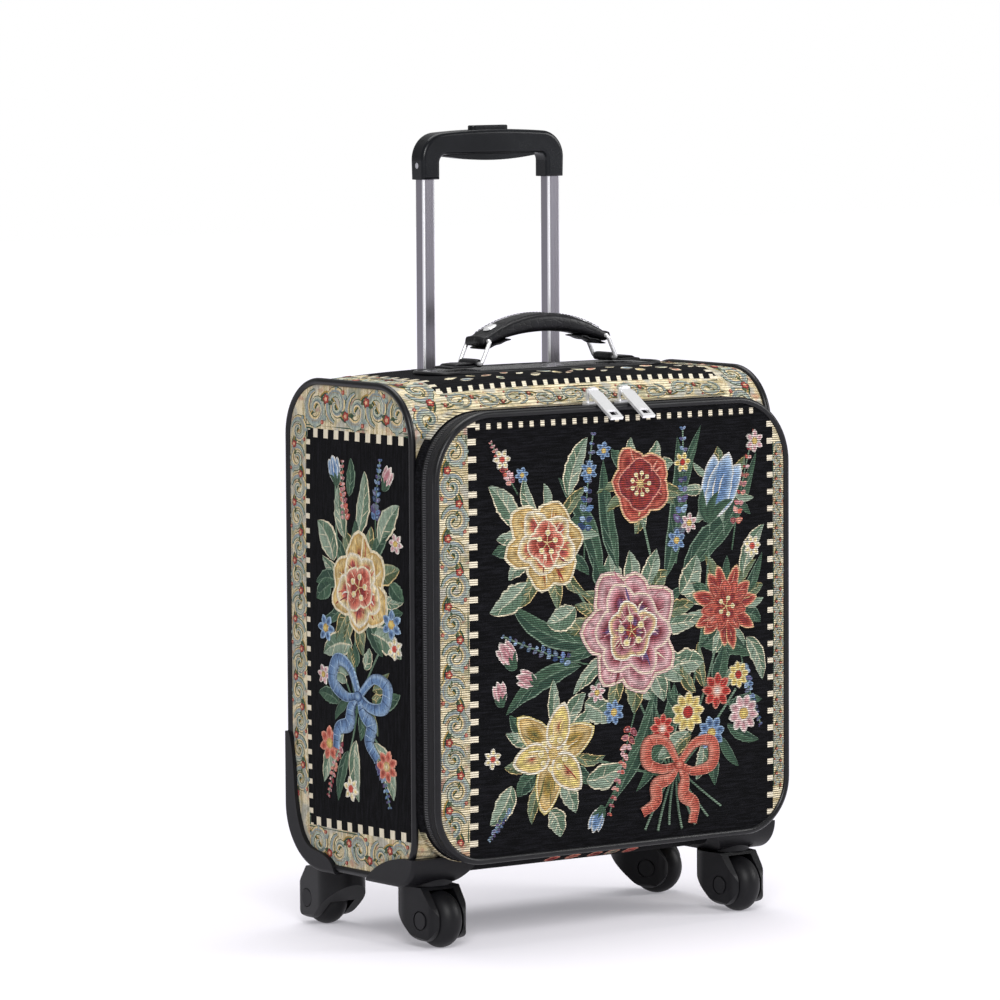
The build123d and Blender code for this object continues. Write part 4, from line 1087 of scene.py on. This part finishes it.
def needle_cloth(name, rib_axis, rib_depth, grain):
    """Coloured threads: the stitches' own tint, ribbed by the weave."""
    graph = Graph(
        name, (0.4, 0.3, 0.3), Roughness=0.85, Sheen_Weight=0.05, Sheen_Roughness=0.45, Specular_IOR_Level=0.2
    )
    rib = rib_wave(graph, rib_axis)
    fleck = graph.noise(800.0, 2.0)
    tint = graph.tint()
    shade = graph.mix(1.0, tint, (0.10, 0.095, 0.10), "MULTIPLY")
    color = graph.mix(rib * rib_depth + (1 - rib_depth), shade, tint)
    worn = graph.ramp(graph.noise(1.0, 3.0, grain) * 0.6 + fleck * 0.4, 0.42, 0.62)
    graph.color(graph.mix(worn * 0.5, color, shade))
    return graph.bump(rib * (0.5 + rib_depth) + fleck * 0.8, 0.7, 0.6 * MM).material


front_needle = needle_cloth("front_threads", 2, 0.8, (160, 400, 900))
end_needle = needle_cloth("end_threads", 1, 0.45, (400, 900, 160))


# Flowers as whorls of petals: number, inner share, outer share and width as shares of the radius, stops
PEONY = (
    (7, 0.2, 1.0, 0.36, shades("0 wine, 0.4 rose, 0.6 blush, 0.84 rose, 0.88 ivory, 1 blush")),
    (6, 0.12, 0.76, 0.32, shades("0 violet, 0.35 wine, 0.6 rose, 0.84 blush, 0.88 ivory, 1 blush")),
    (5, 0.05, 0.52, 0.25, shades("0 wine, 0.5 rose, 0.82 straw, 0.86 ivory, 1 white")),
    (4, 0.0, 0.3, 0.16, shades("0 violet, 0.6 wine, 0.84 rose, 0.88 blush, 1 ivory")),
)
ROSE = (
    (6, 0.2, 1.0, 0.4, shades("0 brick, 0.3 gold, 0.6 straw, 0.84 gold, 0.88 ivory, 1 ivory")),
    (5, 0.1, 0.76, 0.34, shades("0 wine, 0.35 coral, 0.6 straw, 0.84 ivory, 0.88 white, 1 straw")),
    (4, 0.04, 0.5, 0.26, shades("0 brick, 0.5 coral, 0.82 peach, 0.86 ivory, 1 ivory")),
    (3, 0.0, 0.28, 0.16, shades("0 wine, 0.6 brick, 0.86 coral, 1 peach")),
)
POPPY = (
    (5, 0.1, 1.0, 0.46, shades("0 wine, 0.4 brick, 0.65 coral, 0.84 brick, 0.88 peach, 1 straw")),
    (4, 0.05, 0.68, 0.38, shades("0 wine, 0.5 brick, 0.84 wine, 0.88 peach, 1 coral")),
)
LILY = (
    (3, 0.04, 1.0, 0.26, shades("0 olive, 0.35 mustard, 0.6 straw, 0.84 gold, 0.88 ivory, 1 lemon")),
    (3, 0.04, 0.96, 0.25, shades("0 brick, 0.3 straw, 0.6 lemon, 0.84 straw, 0.88 white, 1 ivory")),
)
DAHLIA = (
    (11, 0.3, 1.0, 0.17, shades("0 wine, 0.5 brick, 0.8 coral, 0.86 peach, 1 straw")),
    (9, 0.18, 0.72, 0.16, shades("0 wine, 0.5 coral, 0.84 brick, 1 peach")),
    (7, 0.08, 0.45, 0.13, shades("0 wine, 0.6 brick, 1 coral")),
)
DARK_HEART = (0.1, shades("0 wine, 1 brick"), 5, 0.2)
STAMENS = (0.1, shades("0 lemon, 1 gold"), 9, 0.26)
WHITE_DAISY = (("lemon", "ivory", "white"), ("red", "coral"))
YELLOW_DAISY = (("gold", "lemon", "ivory"), ("red", "brick"))
PINK_DAISY = (("rose", "blush", "white"), ("lemon", "gold"))
RED_DAISY = (("brick", "red", "peach"), ("white", "peach"))
BLUE_DAISY = (("navy", "blue", "sky"), ("lemon", "gold"))
BLADE = ("forest", "pine", "fern", "sage")
GREY_LEAF = ("fern", "sage", "mist", "ivory")
OLIVE_LEAF = ("pine", "olive", "sage", "straw")
BLUES = ("navy", "blue", "sky", "violet", "slate")
PINKS = ("wine", "rose", "blush", "coral", "peach")
BLUE_BELL, PINK_BELL = BLUES[:3], PINKS[:3]


def thicket(work, middle, radius, count):
    """Small leaves round a flower, pointing out from it."""
    middle = np.array(middle, float)
    for k in range(count):
        way = heading(2 * np.pi * (k + rng.uniform(-0.35, 0.35)) / count)
        tip = middle + way * radius * rng.uniform(1.12, 1.45)
        hues = (BLADE, GREY_LEAF, OLIVE_LEAF)[rng.integers(3)]
        width, bend = radius * rng.uniform(0.1, 0.2), rng.uniform(-0.3, 0.3)
        work.leaf(middle + way * radius * 0.55, tip, width, bend, hues, rng.integers(2))


def sprig(work, root, tip, size, hues):
    """A flowering spike: small petals on both sides of a stem, smaller towards its tip."""
    root, tip = np.array(root, float), np.array(tip, float)
    along = (tip - root) / np.linalg.norm(tip - root)
    side = left_of(along)
    stem = quad_curve(root, (root + tip) / 2 + side * rng.uniform(-6, 6), tip, 14)
    work.line(stem, 0.7, "fern", "sage", 0)
    for k in range(3, len(stem)):
        for hand in (-1, 1):
            long = size * (1.15 - 0.06 * k)
            way = side * hand * rng.uniform(0.6, 1.0) + along * rng.uniform(0.2, 0.8)
            a, b, c = (hues[rng.integers(len(hues))] for _ in range(3))
            stops = ((0, a), (0.6, b), (0.82, b), (0.86, c), (1, c))
            work.petal(stem[k], stem[k] + way * long, long * 0.34, stops, 1, 0.04, 0.0, 1)


def bell(work, middle, size, turn, hues):
    """A closed flower seen from the side: two outer petals, a middle one, and its green cup."""
    layer = 2
    deep, mid, pale = hues

    def spot(*share):
        return np.array(share) * size @ turned(turn) + np.array(middle, float)

    for base, tip, wide, root, up in (
        ((0, -0.75), (-0.45, 0.75), 0.36, deep, 0),
        ((0, -0.75), (0.45, 0.8), 0.36, deep, 0),
        ((0, -0.8), (0, 0.95), 0.4, mid, 1),
    ):
        stops = ((0, root), (0.5, mid), (0.85, pale), (1, "white"))
        work.petal(spot(*base), spot(*tip), wide * size, stops, layer + up)
    for tip in ((-0.5, -0.2), (0.5, -0.15), (0, -0.1)):
        work.leaf(spot(0, -0.95), spot(*tip), 0.13 * size, 0.25, BLADE, layer + 2)


def spray(work, root, tips, width, hue="fern", layer=0):
    """Thin stems from a root to several tips."""
    for tip in tips:
        middle = (np.array(root) + np.array(tip)) / 2 + np.array([(tip[1] - root[1]) * 0.08, 0])
        work.line(quad_curve(root, middle, tip, 16), width, hue, "sage", layer)


def leaves(work, hues, layer, rows):
    """Leaves from rows of (base, base, tip, tip, width, bend)."""
    for a, b, c, d, width, bend in rows:
        work.leaf((a, b), (c, d), width, bend, hues, layer)


def daisies(work, layer, rows):
    """Small flowers from rows of (place, place, radius, number of petals, kind)."""
    for a, b, radius, count, kind in rows:
        work.daisy((a, b), radius, count, *kind, layer, rng.uniform(0, 40))


def each(draw, work, *rows):
    """Draw one kind of thing by rows of what it takes."""
    for row in rows:
        draw(work, *row)


def front_bouquet():
    """Scrolls beside the field, and a large bouquet tied with a bow."""
    work = Needlework()
    border = Needlework()
    border.scrolls((-169.5, 92), (-169.5, 432), 28)
    border.scrolls((177, 112), (177, 410), 11)
    inside = rounded_panel((0, LID_MID), (LID_HALF, LID_HALF_Z), LID_RADII[0])
    border.lay("front_border", on_lid, front_needle, "lid", inside)
    each(
        thicket, work, ((-76, 338), 43, 13), ((24, 382), 33, 10), ((-70, 160), 44, 11), ((116, 272), 36, 13),
        ((12, 258), 55, 20), ((110, 374), 30, 8), ((96, 180), 44, 14),
    )
    each(
        sprig, work, ((62, 312), (72, 426), 10, BLUES), ((124, 320), (150, 420), 8, PINKS),
        ((-36, 322), (-24, 426), 9, BLUES), ((20, 196), (-8, 104), 9, PINKS),
        ((-30, 232), (-120, 262), 8, BLUES), ((132, 236), (156, 168), 8, BLUES),
        ((-112, 128), (-134, 92), 7, BLUES), ((-104, 380), (-130, 424), 7, PINKS),
    )
    cut_stems = ((30, 86), (44, 84), (56, 88), (70, 84), (84, 86), (98, 92), (112, 100))
    stems = ((12, 250), (-60, 160), (112, 262), (100, 360), (20, 372), (-70, 330), (128, 200))
    spray(work, (62, 138), cut_stems, 0.8, "pine", 4)
    spray(work, (58, 128), stems, 1.1)
    leaves(work, BLADE, 0, (
        (-20, 300, -62, 392, 9, -0.18), (0, 310, -14, 404, 8, 0.1), (50, 300, 66, 420, 9, -0.12),
        (70, 300, 136, 352, 10, 0.2), (82, 310, 152, 402, 8, -0.16), (60, 330, 92, 428, 6, 0.1),
        (-30, 250, -112, 288, 10, 0.2), (-40, 232, -118, 196, 9, -0.2), (90, 240, 152, 226, 10, 0.2),
        (60, 210, 20, 120, 9, 0.2), (40, 210, -14, 108, 8, 0.16), (92, 240, 158, 316, 8, -0.2),
    ))
    leaves(work, GREY_LEAF, 1, (
        (-96, 306, -134, 282, 11, 0.16), (-108, 352, -134, 388, 10, -0.2), (-52, 376, -30, 424, 9, 0.16),
        (-36, 200, -8, 182, 12, 0.1), (-112, 136, -134, 104, 10, 0.2), (-34, 134, 4, 146, 11, -0.2),
        (-72, 112, -60, 88, 9, 0.2), (54, 222, 92, 226, 12, 0.16), (-46, 282, -76, 270, 11, 0.2),
        (66, 286, 84, 318, 11, -0.2), (140, 244, 158, 206, 8, 0.2), (136, 296, 160, 340, 8, 0.2),
    ))
    work.blossom((-76, 338), 43, ROSE, DARK_HEART, 12)
    work.blossom((24, 382), 35, POPPY, STAMENS, 40)
    work.blossom((-70, 160), 50, LILY, STAMENS, 18, 2, 0.03)
    work.blossom((116, 272), 36, DAHLIA, DARK_HEART, 0, 2, 0.02)
    work.blossom((12, 258), 55, PEONY, DARK_HEART, 25, 4)
    each(
        bell, work, ((110, 374), 34, -22, BLUE_BELL), ((-116, 246), 15, 38, PINK_BELL),
        ((-96, 224), 13, 70, PINK_BELL), ((-124, 214), 12, 15, PINK_BELL), ((-22, 100), 13, 160, BLUE_BELL),
    )
    daisies(work, 4, (
        (74, 184, 18, 9, YELLOW_DAISY), (106, 200, 16, 8, RED_DAISY), (136, 178, 17, 9, PINK_DAISY),
        (100, 164, 15, 8, BLUE_DAISY), (130, 212, 12, 8, YELLOW_DAISY), (46, 172, 13, 8, RED_DAISY),
        (-30, 396, 9, 6, BLUE_DAISY), (-14, 412, 8, 6, BLUE_DAISY), (62, 332, 10, 6, BLUE_DAISY),
        (76, 346, 9, 6, PINK_DAISY), (70, 398, 9, 6, YELLOW_DAISY), (146, 322, 10, 7, WHITE_DAISY),
        (-6, 190, 11, 7, BLUE_DAISY), (-24, 208, 9, 6, PINK_DAISY), (-132, 160, 9, 6, WHITE_DAISY),
        (150, 412, 10, 6, PINK_DAISY), (-120, 410, 9, 6, WHITE_DAISY), (-100, 396, 7, 6, BLUE_DAISY),
    ))
    work.bow((64, 140), 36, -10, ("brick", "coral", "peach"), 6)
    work.lay("front_needlework", on_lid, front_needle, "lid")


def end_bouquet(side, word):
    """Scrolls round the field of an end, and a tall bouquet tied with a bow."""
    work = Needlework()
    rear, front = 78, -69
    low, high = END_FIELD
    work.scrolls((92, 116), (92, 440), 26)
    work.scrolls((front, 449), (79, 449), 33, 1)
    work.scrolls((front, 75), (79, 75), 29)
    each(thicket, work, ((-2, 300), 46, 16), ((0, 214), 34, 12))
    each(
        sprig, work, ((16, 342), (24, 404), 8, PINKS), ((-24, 344), (-30, 408), 8, BLUES),
        ((22, 180), (48, 120), 8, PINKS), ((-14, 176), (-40, 118), 8, BLUES),
    )
    for line in ([(rear, low), (rear, high)], [(front, high), (rear, high)], [(front, low), (rear, low)]):
        work.line(line, 0.8, "pine", layer=0)
    spray(work, (4, 196), ((0, 300), (42, 170), (-34, 160), (36, 250), (-40, 262), (20, 150), (34, 388)), 1.0)
    leaves(work, GREY_LEAF, 1, (
        (10, 250, 52, 240, 12, 0.2), (-18, 262, -58, 244, 11, -0.2), (36, 320, 60, 352, 12, 0.2),
        (-30, 338, -56, 372, 11, -0.16), (0, 344, -8, 398, 9, 0.12), (20, 340, 30, 384, 8, -0.1),
        (24, 174, 54, 130, 9, 0.2), (-20, 170, -46, 124, 9, -0.2), (6, 170, 4, 118, 8, 0.16),
    ))
    leaves(work, BLADE, 1, (
        (40, 300, 62, 286, 9, 0.1), (-44, 306, -62, 292, 8, 0.1), (14, 376, 12, 408, 6, 0.1),
        (30, 200, 60, 206, 7, 0.16), (-24, 204, -56, 214, 7, 0.16), (18, 160, 34, 116, 6, 0.1),
    ))
    work.blossom((-2, 300), 46, ROSE, DARK_HEART, 30)
    each(bell, work, ((35, 396), 14, -14, BLUE_BELL), ((-40, 394), 12, 30, PINK_BELL))
    daisies(work, 3, (
        (44, 164, 15, 7, (("brick", "coral", "peach"), ("lemon", "gold"))),
        (-38, 152, 14, 7, (("brick", "coral", "peach"), ("ivory", "gold"))),
        (48, 262, 12, 6, BLUE_DAISY), (-46, 272, 13, 6, BLUE_DAISY), (-50, 252, 10, 6, WHITE_DAISY),
        (52, 222, 9, 6, PINK_DAISY), (14, 128, 11, 6, WHITE_DAISY), (-52, 340, 9, 6, PINK_DAISY),
    ))
    work.bow((0, 208), 38, 8, ("navy", "blue", "sky"), 5)
    inside = rounded_panel(CASE_MID, CASE_HALF, CASE_RADII[0])
    work.lay(f"{word}_end_needlework", on_end(side), end_needle, "case", inside)


def wrap_needlework():
    """Scrolls along both margins, flecks of petals before the plate and below, and a bouquet on the back."""
    work = Needlework()
    for x in (-168, 168):
        work.scrolls((x, -296), (x, 228), 31)
    work.scrolls((-148, 197.5), (148, 197.5), 15, 1, 1.9)
    for k, x in enumerate(np.linspace(-128, 132, 22)):
        run = 168 + 5 * np.sin(k * 2.1)
        tone = ("ivory", "sky", "straw", "peach", "mist", "coral", "white")[k % 7]
        tip = (x + rng.uniform(7, 15), run + rng.uniform(-4, 4))
        work.petal((x, run), tip, rng.uniform(1.4, 3.0), ((0, "sage"), (0.4, tone), (1, "ivory")), 0, 0.1, 0.0, 1)
    for x, tone in ((-40, "red"), (-18, "coral"), (6, "brick"), (24, "sage"), (44, "red")):
        work.petal((x, 604), (x + 14, 598), 5, ((0, "wine"), (0.6, tone), (1, "peach")), 0, 0.1)
    each(thicket, work, ((0, -140), 44, 16), ((-66, -84), 32, 11), ((64, -196), 32, 11))
    work.blossom((-66, -84), 30, DAHLIA, DARK_HEART, 0, 2, 0.02)
    work.blossom((64, -196), 32, POPPY, STAMENS, 20)
    work.blossom((0, -140), 44, ROSE, DARK_HEART, 12, 3)
    each(sprig, work, ((30, -96), (74, -30), 9, BLUES), ((-30, -186), (-84, -236), 9, PINKS))
    daisies(work, 3, (
        (70, -92, 14, 8, WHITE_DAISY), (-72, -164, 14, 8, BLUE_DAISY), (-20, -66, 11, 7, PINK_DAISY),
        (16, -226, 12, 8, YELLOW_DAISY),
    ))
    work.lay("wrap_needlework", on_wrap, front_needle, "case")


front_bouquet()
wrap_needlework()
for side, word in SIDES:
    end_bouquet(side, word)


# --- stage ---
def build_stage():
    """Pale floor, white surround and soft lamps."""
    size = 12.0
    mesh = bpy.data.meshes.new("floor")
    mesh.from_pydata([(-size, -size, 0), (size, -size, 0), (size, size, 0), (-size, size, 0)], [], [(0, 1, 2, 3)])
    floor = bpy.data.objects.new("floor", mesh)
    scene.collection.objects.link(floor)
    paint = Graph("floor_paint", (0.93, 0.91, 0.96), Roughness=0.9)
    tree = paint.tree
    path = paint.node("ShaderNodeLightPath")
    seen = Term(paint, path.outputs["Is Camera Ray"]) | Term(paint, path.outputs["Is Glossy Ray"])
    seen = seen | Term(paint, path.outputs["Is Transmission Ray"])
    x, y, _ = paint.xyz()
    # The floor's own white is least under the case, so that its shadow shows there
    near, far, least = 0.24, 0.62, 0.22
    away = paint.ramp((x * x + y * y).root(), near, far) * (1 - least) + least
    glow = paint.node("ShaderNodeEmission", {"Color": (0.945, 0.93, 1, 1), "Strength": 1.12})
    blend = paint.node("ShaderNodeMixShader", {0: away * seen})
    tree.links.new(paint.shader.outputs[0], blend.inputs[1])
    tree.links.new(glow.outputs[0], blend.inputs[2])
    tree.links.new(blend.outputs[0], tree.nodes["Material Output"].inputs["Surface"])
    floor.data.materials.append(paint.material)

    world = bpy.data.worlds.new("surround")
    world.use_nodes = True
    scene.world = world
    tree = world.node_tree
    back = tree.nodes["Background"]
    path = tree.nodes.new("ShaderNodeLightPath")
    either = tree.nodes.new("ShaderNodeMath")
    either.operation = "MAXIMUM"
    tree.links.new(path.outputs["Is Camera Ray"], either.inputs[0])
    tree.links.new(path.outputs["Is Transmission Ray"], either.inputs[1])
    strength = tree.nodes.new("ShaderNodeMapRange")
    strength.inputs["To Min"].default_value = 0.38
    strength.inputs["To Max"].default_value = 1.0
    tree.links.new(either.outputs[0], strength.inputs["Value"])
    tree.links.new(strength.outputs[0], back.inputs["Strength"])
    back.inputs["Color"].default_value = (1, 1, 1, 1)

    lamps = (  # name, place, width, power
        ("key_lamp", (-1.7, -2.4, 1.9), 1.3, 78.0),
        ("right_lamp", (2.3, -1.7, 1.4), 1.2, 38.0),
        ("top_lamp", (0.2, 0.5, 2.4), 1.6, 34.0),
    )
    for name, place, width, power in lamps:
        light = bpy.data.lights.new(name, "AREA")
        light.size, light.energy = width, power
        lamp = bpy.data.objects.new(name, light)
        scene.collection.objects.link(lamp)
        aim = (Vector((0, 0, 0.3)) - Vector(place)).to_track_quat("-Z", "Y")
        lamp.matrix_world = Matrix.Translation(place) @ aim.to_matrix().to_4x4()


def build_camera():
    """Camera at the photograph's place: turned 36.5 degrees round the case and looking down a little."""
    yaw, pitch, roll = np.radians((36.506, 4.93, -0.335))
    across, height, distance = -26.3 * MM, 361.69 * MM, 5152.36 * MM
    c, s, cp, sp = np.cos(yaw), np.sin(yaw), np.cos(pitch), np.sin(pitch)
    right = np.array([c, -s, 0])
    ahead = np.array([s * cp, c * cp, -sp])
    up = np.array([s * sp, c * sp, cp])
    place = np.array([0, CASE_MID[0], height]) + across * right - distance * ahead
    right, up = right * np.cos(roll) + up * np.sin(roll), up * np.cos(roll) - right * np.sin(roll)
    data = bpy.data.cameras.new("camera")
    data.lens, data.sensor_width = 215.77, 36.0
    data.clip_end = 50
    camera = bpy.data.objects.new("camera", data)
    scene.collection.objects.link(camera)
    turn = Matrix((right, up, -ahead)).transposed().to_4x4()
    camera.matrix_world = Matrix.Translation(place) @ turn
    scene.camera = camera


build_stage()
build_camera()
scene.view_settings.view_transform = "Standard"
